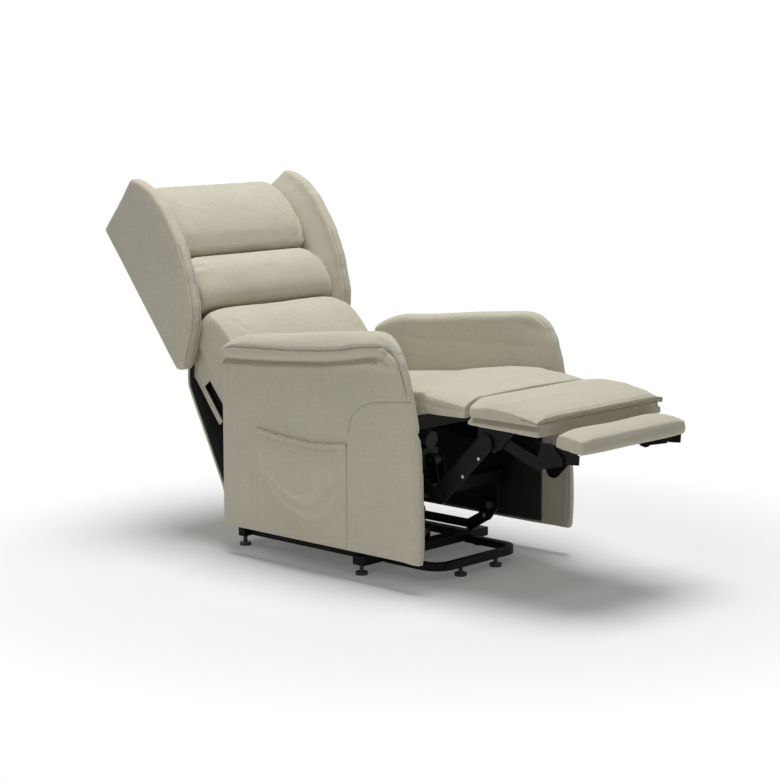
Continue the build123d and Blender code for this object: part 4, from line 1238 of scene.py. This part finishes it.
        def spot(s: float, t: float) -> Vector:
            """Lightly crowned, drawn in at its edges.

            Args:
                s: Share across the sheet.
                t: Share along it.

            Returns:
                The place in the shared frame.
            """
            a, b = 2 * s - 1, 2 * t - 1
            crown = self.panel_crown * (1 - abs(a) ** self.crown_power) * (1 - abs(b) ** self.crown_power)
            return self.place(self.panel_w - crown, a * self.panel_half, low + t * (high - low))

        piece = lay("outside_back_cover", (60, 72), spot, self.panel_cloth, COVER)
        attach(piece, "backrest")
        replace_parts(piece, "back_panel")

    def flap(self) -> None:
        """The loose rear flap between the rear rail and the back: cover outside, black lining inside."""
        path = spline([at(x, 0, z) for x, z in self.flap_path], 0.008)
        last = len(path) - 1
        aft = Vector((-0.9, 0, -0.45)).normalized()

        def reach(t: float) -> float:
            """Half the flap's width, wider at the rail it is fixed to."""
            return self.flap_foot + (self.flap_half - self.flap_foot) * min(1.0, t / self.flap_taper)

        def spot(s: float, t: float) -> Vector:
            """Along the path, with slack between its fixed ends.

            Args:
                s: Share across the sheet.
                t: Share along it.

            Returns:
                The place in the shared frame.
            """
            here = path[min(int(t * last + 0.5), last)]
            slack = 0.003 * math.sin(math.pi * t) * math.sin(9 * s + 3 * t) * min(1.0, 8 * min(s, 1 - s))
            return here + Vector((0, (2 * s - 1) * reach(t), 0)) + slack * aft

        piece = lay("rear_flap_cloth", (60, last), spot, COVER_CLOTH, LINING, outside=COVER)
        flat = (2 * self.flap_half, length_of(path))
        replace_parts(piece, "rear_flap")
        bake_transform(piece)
        for side in Side:
            edge = [place + Vector((0, side.value * reach(k / last), 0)) for k, place in enumerate(path)]
            hem = tube(f"{side.word}_flap_hem", edge, self.flap_hem, 8)
            COVER.dress(hem)
            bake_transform(hem)

    def apron(self) -> None:
        """The strip of cover that closes the gap between the seat's rear edge and the lowest cushion."""
        front, rear = (at(x, 0, z) for x, z in self.apron_ends)

        def spot(s: float, t: float) -> Vector:
            """From seat to back, a little slack."""
            sag = 0.002 * math.sin(math.pi * t) * (1 + 0.4 * math.sin(8 * s))
            return front.lerp(rear, t) + Vector((0, (2 * s - 1) * self.apron_half, sag))

        piece = lay("seat_back_apron", (60, 14), spot, self.apron_cloth, COVER)
        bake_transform(piece)


def cut_at(piece: Piece, x: float, name: str) -> Piece:
    """Cut a closed piece in two at a plane across the chair.

    Args:
        piece: The object to cut; it keeps the rear part.
        x: Where the plane stands.
        name: Name of the front part.

    Returns:
        The front part, as a new object.
    """
    front = bpy.data.meshes.new(name)
    for mesh, toward in ((front, -1.0), (piece.data, 1.0)):
        shape = bmesh.new()
        shape.from_mesh(piece.data)
        every = shape.verts[:] + shape.edges[:] + shape.faces[:]
        done = bmesh.ops.bisect_plane(
            shape, geom=every, plane_co=(x, 0, 0), plane_no=(toward, 0, 0), clear_outer=True, clear_inner=False)
        rim = [item for item in done["geom_cut"] if isinstance(item, bmesh.types.BMEdge)]
        bmesh.ops.holes_fill(shape, edges=rim)
        for edge in rim:
            edge.smooth = False
        shape.to_mesh(mesh)
        shape.free()
    part = link(name, front)
    smooth(part)
    smooth(piece)
    return part


@dataclass
class Seat:
    """The seat cushion and the bridge pad that carries its top on to the legrest."""

    split_x: float = 0.7012
    bridge_x: Pair = (0.702, 0.844)
    bridge_half: float = 0.262
    bridge_inset: float = 0.004
    seam_z: float = 0.503
    fold_z: float = 0.484
    keep: float = 0.24
    rest_depth: float = 0.012
    beside_y: float = 0.246
    below_z: float = 0.470
    crest: Line = mm(
        (137, 471), (224, 493), (411, 512), (482, 526), (605, 544), (686, 547), (770, 543), (820, 536), (852, 527))
    edge_fall: float = 0.028
    edge_y: Pair = (0.20, 0.068)
    crown: Pair = (0.003, 0.2)
    top_turn: Pair = (0.05, 0.45)
    top_z: Pair = (0.455, 0.475)
    top_x: Pair = (0.10, 0.18)
    hang: float = 0.008
    hang_x: Pair = (0.66, 0.72)
    hang_y: Pair = (0.20, 0.245)
    hang_z: Pair = (0.484, 0.500)
    front_half: float = 0.268
    side_marks: int = 160
    side_reach: float = 0.004
    widen_share: Pair = (0.60, 0.97)
    widen_x: Pair = (0.600, 0.660)
    nose: float = 0.005
    nose_x: Pair = (0.80, 0.842)
    deck: Pair = (0.404, 0.448)
    lining_gap: float = 0.0016
    lining_corner: float = 0.004
    lining_drop: float = 0.040

    def lining(self) -> None:
        """Black cloth stapled round the seat's rails, at both sides and the front."""
        low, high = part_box("seat_side_rails")
        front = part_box("seat_cross_rails")[1]
        half = max(high.y, front.y) + self.lining_gap
        ahead = max(high.x, front.x) + self.lining_gap
        corner, steps = self.lining_corner, 40
        right = [Vector((low.x, -half, 0)), Vector((ahead - corner, -half, 0)), Vector((ahead, -half + corner, 0))]
        plan = right + mirrored(right)
        path = [a.lerp(b, k / steps) for a, b in zip(plan, plan[1:]) for k in range(steps)] + [plan[-1]]
        slope = (self.deck[1] - self.deck[0]) / (ahead - low.x)

        def spot(s: float, t: float) -> Vector:
            """On the rails' outer faces, following the deck's slope.

            Args:
                s: Share across the sheet.
                t: Share along it.

            Returns:
                The place in the shared frame.
            """
            here = path[int(s * (len(path) - 1) + 0.5)]
            top = self.deck[0] + slope * (here.x - low.x)
            return Vector((here.x, here.y, top - self.lining_drop * (1 - t)))

        piece = lay("seat_rail_lining", (len(path) - 1, 6), spot, LINING_CLOTH, LINING)
        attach(piece, "chair_frame")
        flat = (length_of(path), self.lining_drop)

    def settle(self, piece: Piece) -> None:
        """Give the top its long curve, and let the bridge's sides hang a little lower.

        Args:
            piece: The cover of seat and bridge.
        """
        clay = Clay(piece)
        x, y, z = clay.x, clay.y, clay.z
        edge = self.edge_fall * ((y - self.edge_y[0]).clip(0) / self.edge_y[1]) ** 2
        top = follow(self.crest, x) - edge - self.crown[0] * (y / self.crown[1]) ** 2
        share = ramp(clay.normals[:, 2], *self.top_turn) * ramp(z, *self.top_z) * ramp(x, *self.top_x)
        hang = self.hang * ramp(x, *self.hang_x) * ramp(y, *self.hang_y) * (1 - ramp(z, *self.hang_z))
        clay.points[:, 2] += share * (top - z) - hang
        marks = np.linspace(x.min(), x.max(), self.side_marks)
        halves = np.interp(x, marks, skyline(x, y, marks, self.side_reach, self.edge_y[0]))
        wider = self.front_half / halves - 1
        clay.points[:, 1] *= 1 + wider * ramp(y / halves, *self.widen_share) * ramp(x, *self.widen_x)
        clay.points[:, 0] += self.nose * ramp(x, *self.nose_x)
        clay.write()
        relax(piece, 3)

    def build(self) -> None:
        """Swell seat and bridge together, then part them at the fold line."""
        self.lining()
        layer = resting(UP, self.rest_depth)

        def rests(points: Rows) -> Rows:
            """The underside, and the low sides between the arms."""
            return layer(points) | ((np.abs(points[:, 1]) > self.beside_y) & (points[:, 2] < self.below_z))

        nodes = ["seat_cushion", "bridge_pad"]
        seat = Padding("seat_cushion_cover", nodes, "chair_frame", cap=0.009, rests=rests).grow()
        self.settle(seat)
        bridge = cut_at(seat, ARM_REAR_X + self.split_x, "bridge_pad_cover")
        COVER.dress(bridge)
        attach(bridge, "bridge")
        seat["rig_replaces"] = ["seat_cushion"]
        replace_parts(bridge, "bridge_pad")
        needle, inset = Needle(bridge, "bridge"), self.bridge_inset
        for side in Side:
            y = side.value * self.bridge_half
            rear = at(self.bridge_x[0] + inset, y, self.seam_z)
            front = at(self.bridge_x[1] - inset, y, self.seam_z - inset)
            needle.sew([rear, (rear + front) / 2, front], SeamStyle(thread=0.0))
        at(self.split_x, 0, self.fold_z)
        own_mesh(bridge)


@dataclass
class Legrest:
    """The legrest pad, its wrapped board and the padded foot flap."""

    half: float = 0.269
    front_x: float = 1.088
    corner: float = 0.016
    seam_z: float = 0.4945
    seam_return: Pair = (0.060, 0.002)
    rest_depth: float = 0.004
    crest: Line = mm((845, 527), (923, 537), (986, 534), (1050, 522), (1078, 512), (1090, 500))
    edge_fall: float = 0.026
    edge_y: Pair = (0.200, 0.069)
    top_least: float = 0.4915
    top_turn: Pair = (0.05, 0.45)
    top_z: Pair = (0.494, 0.506)
    overhang: float = 0.012
    overhang_y: Pair = (0.2625, 0.2645)
    overhang_z: Pair = (0.492, 0.512)
    rebate: float = 0.012
    rebate_y: Pair = (0.240, 0.255)
    rebate_z: Pair = (0.4715, 0.4755)
    flap_rise: float = 0.008
    flap_turn: Pair = (-0.1, 0.6)
    flap_x: Pair = (1.1096, 1.1945)
    flap_grow: Pair = (0.012, 0.006)
    flap_widen: float = 1.015

    def build(self) -> None:
        """Make the pad, the board's wrap and the flap's bar."""
        rests = resting(UP, self.rest_depth)
        pad = Padding("legrest_pad_cover", ["legrest_pad"], "legrest", voxel=0.005, cap=0.007, rests=rests).grow()
        self.droop(pad)
        Needle(pad, "legrest").sew(self.boxing(), SeamStyle(width=0.003, depth=0.0030, pucker=0.5))
        board = Padding("legrest_board_wrap", ["legrest_board"], "legrest", voxel=0.004, frames=0, fill=0.95,
                        soften=1, divide=False)
        self.step_in(board.grow())
        bar = Padding("foot_flap_cover", ["foot_flap_pad"], "foot_flap", voxel=0.004, shrink=0.002, cap=0.006,
                      fill=0.85)
        self.plump(bar.grow())

    def droop(self, piece: Piece) -> None:
        """Let the pad's sides hang over the board's edges.

        Args:
            piece: The pad's cover.
        """
        clay = Clay(piece)
        x, y, z = clay.x, clay.y, clay.z
        edge = self.edge_fall * ((y - self.edge_y[0]).clip(0) / self.edge_y[1]) ** 2
        top = np.maximum(follow(self.crest, x) - edge, self.top_least)
        share = ramp(clay.normals[:, 2], *self.top_turn) * ramp(z, *self.top_z)
        under = ramp(y, *self.overhang_y) * (1 - ramp(z, *self.overhang_z))
        clay.points[:, 2] += share * (top - z) - self.overhang * under
        clay.write()
        relax(piece, 2)

    def step_in(self, piece: Piece) -> None:
        """Set the board's upper sides back, where the pad hangs over them.

        Args:
            piece: The board's wrap.
        """
        clay = Clay(piece)
        deep = ramp(clay.z, *self.rebate_z) * ramp(clay.y, *self.rebate_y)
        clay.points[:, 1] -= np.sign(clay.points[:, 1]) * self.rebate * deep
        clay.write()

    def plump(self, piece: Piece) -> None:
        """Raise the foot flap's top and fill its ends.

        Args:
            piece: The flap's cover.
        """
        clay = Clay(piece)
        rear, front = self.flap_x
        share = (clay.x - rear) / (front - rear)
        clay.points[:, 2] += self.flap_rise * ramp(clay.normals[:, 2], *self.flap_turn)
        clay.points[:, 0] += share * self.flap_grow[1] - (1 - share) * self.flap_grow[0]
        clay.points[:, 1] *= self.flap_widen
        clay.write()

    def boxing(self) -> list[Vector]:
        """The seam along the pad's front, with short returns round its corners.

        Returns:
            Places along the seam.
        """
        half, front, z, corner = self.half, self.front_x, self.seam_z, self.corner
        back, rise = self.seam_return
        right = [at(front - back, -half, z + rise), at(front - corner, -half, z), at(front, -half + corner, z)]
        return [*right, at(front, 0, z), *mirrored(right)]


@dataclass
class Arm:
    """One upholstered arm: a flat outer panel under a padded roll, lined in black inside.

    Lines are distances forward of the arms' rear edge with heights above the floor, or the other way round for the
    two fronts.
    """

    side: Side
    outer: float = 0.331
    inner: float = 0.295
    roll_seam: Line = mm(
        (12, 598), (120, 605), (290, 613), (452, 627), (535, 641), (590, 648), (625, 646), (648, 636), (666, 618),
        (680, 592), (693, 556), (702, 526))
    roll_seam_top: int = 8
    edge_seam: Line = mm(
        (735, 95), (737, 240), (729, 336), (716, 449), (704, 517), (683, 592), (664, 640), (645, 660), (615, 674))
    edge_inset: float = 0.034
    panel_seam: Line = mm((488, 382), (492, 410), (509, 457), (553, 489), (610, 502), (733, 515))
    route_out: Pair = (0.030, 0.004)
    route_x: float = 0.45
    pleats: Sequence[Triple] = ((0.014, 0.580, 0.045), (0.622, 0.612, 0.050))
    pleat_height: float = 0.0028
    pleat_folds: int = 5
    front_cad: Line = mm((82, 733), (260, 738), (517, 709), (596, 692), (652, 674))
    front_tip: Line = mm(
        (82, 743), (161, 744), (249, 743), (336, 735), (449, 722), (517, 710), (550, 701), (593, 688), (620, 679),
        (645, 668))
    high_z: Pair = (0.405, 0.434)
    front_taper: float = 0.60
    low_taper: float = 0.28
    taper_reach: float = 0.12
    rear_room: float = 0.024
    rear_x: Pair = (0.115, 0.200)
    rear_depth: Pair = (0.0, 0.060)
    edge_round: float = 0.010
    edge_width: float = 0.007
    nose_reach: float = 0.150
    nose_near: float = 1.05
    top_line: Line = mm(
        (560, 679), (590, 678.5), (615, 674.5), (635, 668), (650, 660), (662, 650), (672, 636), (682, 612),
        (690, 590))
    top_x: Pair = (0.54, 0.70)
    top_marks: int = 41
    top_reach: float = 0.005
    top_least: float = 0.50
    top_z: Pair = (0.575, 0.660)
    foot_z: float = 0.0795
    foot_square: Pair = (0.086, 0.13)
    rear_grow: float = 0.004
    rear_grow_x: Pair = (0.0, 0.06)
    crown: float = 0.005
    crown_z: Pair = (0.56, 0.64)
    crown_x: tuple[Pair, Pair] = ((0.20, 0.45), (0.60, 0.68))
    crevice: Line = mm((30, 558), (122, 563), (220, 569), (398, 585), (502, 600), (600, 618))
    crevice_depth: float = 0.017
    crevice_width: Pair = (0.013, 0.0055)
    crevice_drop: float = 0.001
    swell: float = 0.003
    overhang: float = 0.017
    overhang_rise: float = 0.0065
    overhang_fade: Pair = (1.1, 2.2)
    overhang_rear: Pair = (0.35, 0.65)
    overhang_rear_x: Pair = (0.0, 0.09)
    overhang_x: tuple[Pair, Pair] = ((-0.02, 0.02), (0.570, 0.640))
    rear_drop: float = 0.032
    rear_drop_x: float = 0.125
    rear_drop_z: Pair = (0.575, 0.625)
    lining_x: Pair = (0.020, 0.651)
    lining_z: Pair = (0.090, 0.428)
    lining_gap: float = 0.0022

    def build(self) -> Piece:
        """Make the arm's cover with its roll and seams, and the lining.

        Returns:
            The arm's cover.
        """
        word, way = self.side.word, self.side.value
        nodes = [f"{word}_arm_upholstery", f"{word}_arm_roll"]
        piece = Padding(f"{word}_arm_cover", nodes, "chair_frame", voxel=0.006, frames=0, fill=0.8).grow()
        self.shape_nose(piece)
        self.roll_out(piece)
        needle = Needle(piece, "chair_frame")
        needle.sew(self.route(self.roll_seam), SeamStyle(pucker=0.7))
        edge = [at(x, way * (self.outer - self.edge_inset), z) for x, z in self.edge_seam]
        needle.sew(edge, SeamStyle(width=0.003, depth=0.0016, thread=0.0))
        needle.sew(self.route(self.panel_seam), SeamStyle(width=0.0028, depth=0.0016, pucker=0.2, thread=0.0005))
        for x, z, reach in self.pleats:
            needle.pleat(at(x, way * self.outer, z), reach, self.pleat_height, self.pleat_folds)
        self.lining()
        return piece

    def route(self, outline: Line) -> list[Vector]:
        """An outline of the outer face as places outside it, further out where the roll hangs over."""
        far, near = (self.side.value * (self.outer + out) for out in self.route_out)
        return [at(x, far if x < self.route_x else near, z) for x, z in outline]

    def shape_nose(self, piece: Piece) -> None:
        """Bring the outer front edge forward, round the inner one off, square the foot and clear the back.

        Args:
            piece: The arm's cover.
        """
        clay = Clay(piece)
        points, x, z = clay.points, clay.x, clay.z
        cad, tip = follow(self.front_cad, z), follow(self.front_tip, z)
        high = ramp(z, *self.high_z)
        depth = self.outer - clay.y
        thin = self.front_taper * high + self.low_taper * (1 - high)
        thin = thin * np.clip((x - cad + self.taper_reach) / self.taper_reach, 0, 1)
        room = self.rear_room * high * (1 - ramp(x, *self.rear_x)) * ramp(depth, *self.rear_depth)
        points[:, 1] += self.side.value * (depth.clip(0) * thin + room)
        width = np.clip(depth * (1 - thin), 0, None)
        back = self.edge_round * np.exp(-(width / self.edge_width) ** 2)
        near = np.clip((x - cad + self.nose_reach) / self.nose_reach, 0, self.nose_near)
        points[:, 0] += near * (tip - cad - back)
        ahead = points[:, 0] - ARM_REAR_X
        marks = np.linspace(*self.top_x, self.top_marks)
        tops = np.interp(ahead, marks, skyline(ahead, z, marks, self.top_reach, self.top_least))
        excess = (tops - follow(self.top_line, ahead)).clip(0) * (ahead > self.top_x[0])
        points[:, 2] -= excess * ramp(z, *self.top_z)
        points[:, 2] -= (z.min() - self.foot_z) * (1 - ramp(z, *self.foot_square))
        points[:, 0] -= self.rear_grow * (1 - ramp(x, *self.rear_grow_x))
        points[:, 2] += self.crown * ramp(z, *self.crown_z) * hump(x, *self.crown_x)
        clay.write()

    def roll_out(self, piece: Piece) -> None:
        """Lean the roll's outer side out over the panel, so that a crevice forms below it.

        Args:
            piece: The arm's cover.
        """
        clay, way = Clay(piece), self.side.value
        x, z = clay.x, clay.z
        foot, head = follow(self.crevice, x), follow(self.roll_seam[:self.roll_seam_top], x)
        outward = np.clip(clay.normals[:, 1] * way, 0, 1) ** 0.5
        share = np.clip((z - foot) / (head - foot), 0, self.overhang_fade[1])
        lean = self.overhang * (1 - np.exp(-((z - foot).clip(0) / self.overhang_rise) ** 2))
        lean *= 1 - ramp(share, *self.overhang_fade)
        lean *= self.overhang_rear[0] + self.overhang_rear[1] * ramp(x, *self.overhang_rear_x)
        width = np.where(z > foot, *self.crevice_width)
        pinch = self.crevice_depth * np.exp(-((z - foot + self.crevice_drop) / width) ** 2)
        clay.points[:, 1] += way * outward * ((lean - pinch) * hump(x, *self.overhang_x) + self.swell)
        drop = self.rear_drop * (1 - np.clip(x / self.rear_drop_x, 0, 1)) ** 2
        clay.points[:, 2] -= drop * ramp(z, *self.rear_drop_z)
        clay.write()

    def lining(self) -> None:
        """Black cloth over the arm's open inner side."""
        (x0, x1), (z0, z1) = self.lining_x, self.lining_z
        word, way = self.side.word, self.side.value
        y = way * (self.inner - self.lining_gap)

        def spot(s: float, t: float) -> Vector:
            """Nearly flat, a little slack in the middle."""
            slack = 0.0012 * math.sin(math.pi * s) * math.sin(math.pi * t) * math.sin(11 * s + 5 * t)
            return at(x0 + s * (x1 - x0), y - way * abs(slack), z0 + t * (z1 - z0))

        piece = lay(f"{word}_arm_lining", (60, 36), spot, LINING_CLOTH, LINING)
        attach(piece, "chair_frame")


@dataclass
class Pocket:
    """The gathered pocket on the right arm's outer side.

    Lines are distances forward of the arms' rear edge with heights above the floor.
    """

    x: Pair = (0.143, 0.487)
    foot_z: float = 0.092
    hem: Line = mm((143, 382), (221, 372), (285, 369), (349, 365), (412, 368), (486, 379))
    sag: Line = mm(
        (143, 312), (167, 275), (206, 243), (252, 216), (297, 200), (341, 190), (375, 206), (405, 233), (428, 263),
        (467, 292), (486, 300))
    low_sag: Line = mm(
        (143, 270), (200, 212), (260, 174), (330, 150), (379, 153), (411, 175), (440, 212), (486, 268))
    belly: float = 0.0150
    belly_rise: Pair = (-0.004, 0.030)
    low_belly: float = 0.0080
    low_rise: Pair = (-0.006, 0.022)
    shut: float = 0.92
    shut_below: Pair = (0.095, 0.004)
    side_share: float = 0.10
    lift: float = 0.0010
    stand_off: float = 0.0010
    least: float = 0.0004
    gather: float = 0.0022
    gathers: int = 17
    gather_fade: float = 0.026
    band: float = 0.012
    hem_swell: float = 0.0042
    lip: float = 0.25
    lip_depth: float = 0.004
    cloth: float = 0.0016
    slack: float = 1.04
    cut_height: float = 0.284

    def stands_out(self, s: float, x: float, z: float, top: float) -> float:
        """How far the cloth stands off the arm.

        Args:
            s: Share across the pocket.
            x: Place along the arm.
            z: Height above the floor.
            top: Height of the hem there.

        Returns:
            The distance from the arm's skin.
        """
        below = top - z
        sides = min(1.0, min(s, 1 - s) / self.side_share)
        full = ramp(z - follow(self.sag, x), *self.belly_rise)
        low = ramp(z - follow(self.low_sag, x), *self.low_rise)
        shut = 1 - self.shut * ramp(below, *self.shut_below)
        wave = math.sin(2 * math.pi * self.gathers * s + 3.5 * math.sin(9 * s))
        gather = self.gather * wave * math.exp(-max(0.0, below - self.band) / self.gather_fade)
        out = shut * (self.belly * full + self.low_belly * low) + self.stand_off * full + gather
        out = self.lift + sides * out
        out += self.hem_swell * math.sqrt(max(0.0, 1 - (2 * below / self.band - 1) ** 2))
        out *= self.lip + (1 - self.lip) * ramp(below, 0.0, self.lip_depth)
        return max(out, self.least)

    def build(self, arm: Piece) -> None:
        """Lay the pocket's cloth on the arm and let it belly out.

        Args:
            arm: The arm's finished cover.
        """
        skin = tree_of(arm)
        x0, x1 = self.x

        def spot(s: float, t: float) -> Vector:
            """On the arm's skin, out by the belly and the gathers.

            Args:
                s: Share across the sheet.
                t: Share along it.

            Returns:
                The place in the shared frame.
            """
            x = x0 + s * (x1 - x0)
            top = follow(self.hem, x)
            z = self.foot_z + t * (top - self.foot_z)
            hit = skin.ray_cast(at(x, -0.6, z), Vector((0, 1, 0)))[0]
            return hit - Vector((0, self.stands_out(s, x, z, top), 0))

        piece = lay("side_pocket_cloth", (130, 144), spot, self.cloth, COVER)
        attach(piece, "chair_frame")
        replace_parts(piece, "side_pocket")


@dataclass
class Steelwork:
    """Finishes of the frame, the linkages and the drives, with the bolt heads on the legrest links."""

    bolt_radius: float = 0.0055
    bolt_height: float = 0.004
    bolt_sunk: float = 0.0002
    bolt_body: str = "legrest_upper"
    bolt_node: str = "legrest_upper_links"
    bolts: Line = mm((870, 372), (816, 318))
    finishes: dict[Finish, str] = field(default_factory=lambda: {
        PLASTIC: "glide_feet lift_motor back_motor control_box",
        BOLT: "base_pivot_pins frame_pivot_pins",
        ROD: "lift_rod back_rod",
        TIMBER: "seat_side_rails seat_cross_rails left_arm_frame right_arm_frame rear_rail back_side_rails "
                "back_cross_rails",
        WEBBING: "seat_webbing back_webbing",
    })

    def build(self) -> None:
        """Dress every CAD node that shows, then add the bolt heads."""
        named = {node: finish for finish, nodes in self.finishes.items() for node in nodes.split()}
        for name, node in frame["nodes"].items():
            if not node.hide_render:
                named.get(name, STEEL).dress(node)
        for index, (x, z) in enumerate(self.bolts):
            for side in Side:
                self.bolt(f"{side.word}_link_bolt_{index}", at(x, 0, z), side)

    def bolt(self, name: str, spot: Vector, side: Side) -> None:
        """A domed bolt head on the outer face of a link.

        Args:
            name: The piece's name.
            spot: Its place along the chair.
            side: Which link of the pair.
        """
        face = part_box(self.bolt_node)[1].y
        shape = bmesh.new()
        bmesh.ops.create_uvsphere(shape, u_segments=24, v_segments=12, radius=self.bolt_radius)
        for vert in shape.verts:
            height = max(vert.co.z, 0.0) * self.bolt_height / self.bolt_radius
            y = side.value * (face + height - self.bolt_sunk)
            vert.co = Vector((spot.x + vert.co.x, y, spot.z + vert.co.y))
        bmesh.ops.remove_doubles(shape, verts=shape.verts, dist=1e-6)
        bmesh.ops.recalc_face_normals(shape, faces=shape.faces)
        piece = cast(name, shape)
        BOLT.dress(piece)
        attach(piece, self.bolt_body)


@dataclass(frozen=True)
class SoftBox:
    """A square soft light that looks at a place."""

    name: str
    spot: Triple
    aim: Triple
    size: float
    power: float

    def build(self) -> None:
        """Hang the light."""
        lamp = bpy.data.lights.new(self.name, "AREA")
        lamp.size = self.size
        lamp.energy = self.power
        holder = link(self.name, lamp)
        holder.location = self.spot
        holder.rotation_euler = (Vector(self.aim) - Vector(self.spot)).to_track_quat("-Z", "Y").to_euler()


@dataclass
class Studio:
    """A pale floor, soft light from above and the camera."""

    lamps: Sequence[SoftBox] = (
        SoftBox("overhead_box", (0.05, 0.12, 5.0), (0.0, 0.0, 0.0), 3.0, 206.0),
        SoftBox("side_fill", (0.9, -4.6, 2.5), (0.0, 0.0, 0.4), 2.2, 26.0),
    )
    camera_at: Triple = (4.0715, -4.418, 1.410)
    camera_turn: Triple = (81.08, 0.0, 42.72)
    lens: float = 99.61
    sensor: float = 36.0
    floor_size: float = 60.0
    floor_tone: Pair = (0.985 * 0.94, 0.94)
    floor_grain: float = 2.0
    floor_roughness: float = 0.9
    fade: tuple[Pair, Pair] = ((0.80, 1.45), (0.10, 1.0))
    middle: Triple = (0.15, 0.0, 0.0)
    sky: float = 0.16

    def build(self) -> None:
        """Set the stage."""
        scene = bpy.context.scene
        scene.view_settings.view_transform = "Standard"
        self.floor()
        for lamp in self.lamps:
            lamp.build()
        self.world()
        camera = link("camera", bpy.data.cameras.new("camera"))
        camera.location = self.camera_at
        camera.rotation_euler = [math.radians(angle) for angle in self.camera_turn]
        camera.data.lens = self.lens
        camera.data.sensor_width = self.sensor
        scene.camera = camera

    def floor(self) -> None:
        """A wide pale floor that fades to plain white away from the chair."""
        half = self.floor_size / 2
        mesh = bpy.data.meshes.new("floor")
        corners = [(-half, -half, 0), (half, -half, 0), (half, half, 0), (-half, half, 0)]
        mesh.from_pydata(corners, [], [(0, 1, 2, 3)])
        floor = link("floor", mesh)
        material = bpy.data.materials.new("studio_floor")
        sheet = NodeSheet(material)
        tone = sheet.span(sheet.grain(self.floor_grain), NOISE_RANGE, self.floor_tone)
        sheet.surface({
            "Base Color": sheet.mix(tone, (0.0, 0.0, 0.0), WHITE),
            "Roughness": self.floor_roughness,
            "Specular IOR Level": 0.0,
        })
        place = sheet.add("ShaderNodeNewGeometry").outputs["Position"]
        gap = sheet.add("ShaderNodeVectorMath", {0: place, 1: self.middle}, operation="DISTANCE").outputs["Value"]
        sheet.show_white("ShaderNodeEmission", sheet.span(gap, *self.fade))
        floor.data.materials.append(material)
        floor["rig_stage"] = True

    def world(self) -> None:
        """Dim even light from all round, seen as plain white."""
        world = bpy.data.worlds.new("studio")
        bpy.context.scene.world = world
        sheet = NodeSheet(world)
        sheet.surface({"Color": WHITE, "Strength": self.sky})
        sheet.show_white("ShaderNodeBackground")


def main() -> None:
    """Build every sub-assembly in order."""
    logging.basicConfig(level=logging.INFO, format="%(name)s %(message)s")
    Backrest().build()
    Seat().build()
    Legrest().build()
    arms = {side: Arm(side).build() for side in Side}
    Pocket().build(arms[Side.RIGHT])
    Steelwork().build()
    Studio().build()
    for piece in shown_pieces():
        log.info("piece %s", piece.name)


if __name__ == "__main__":
    main()
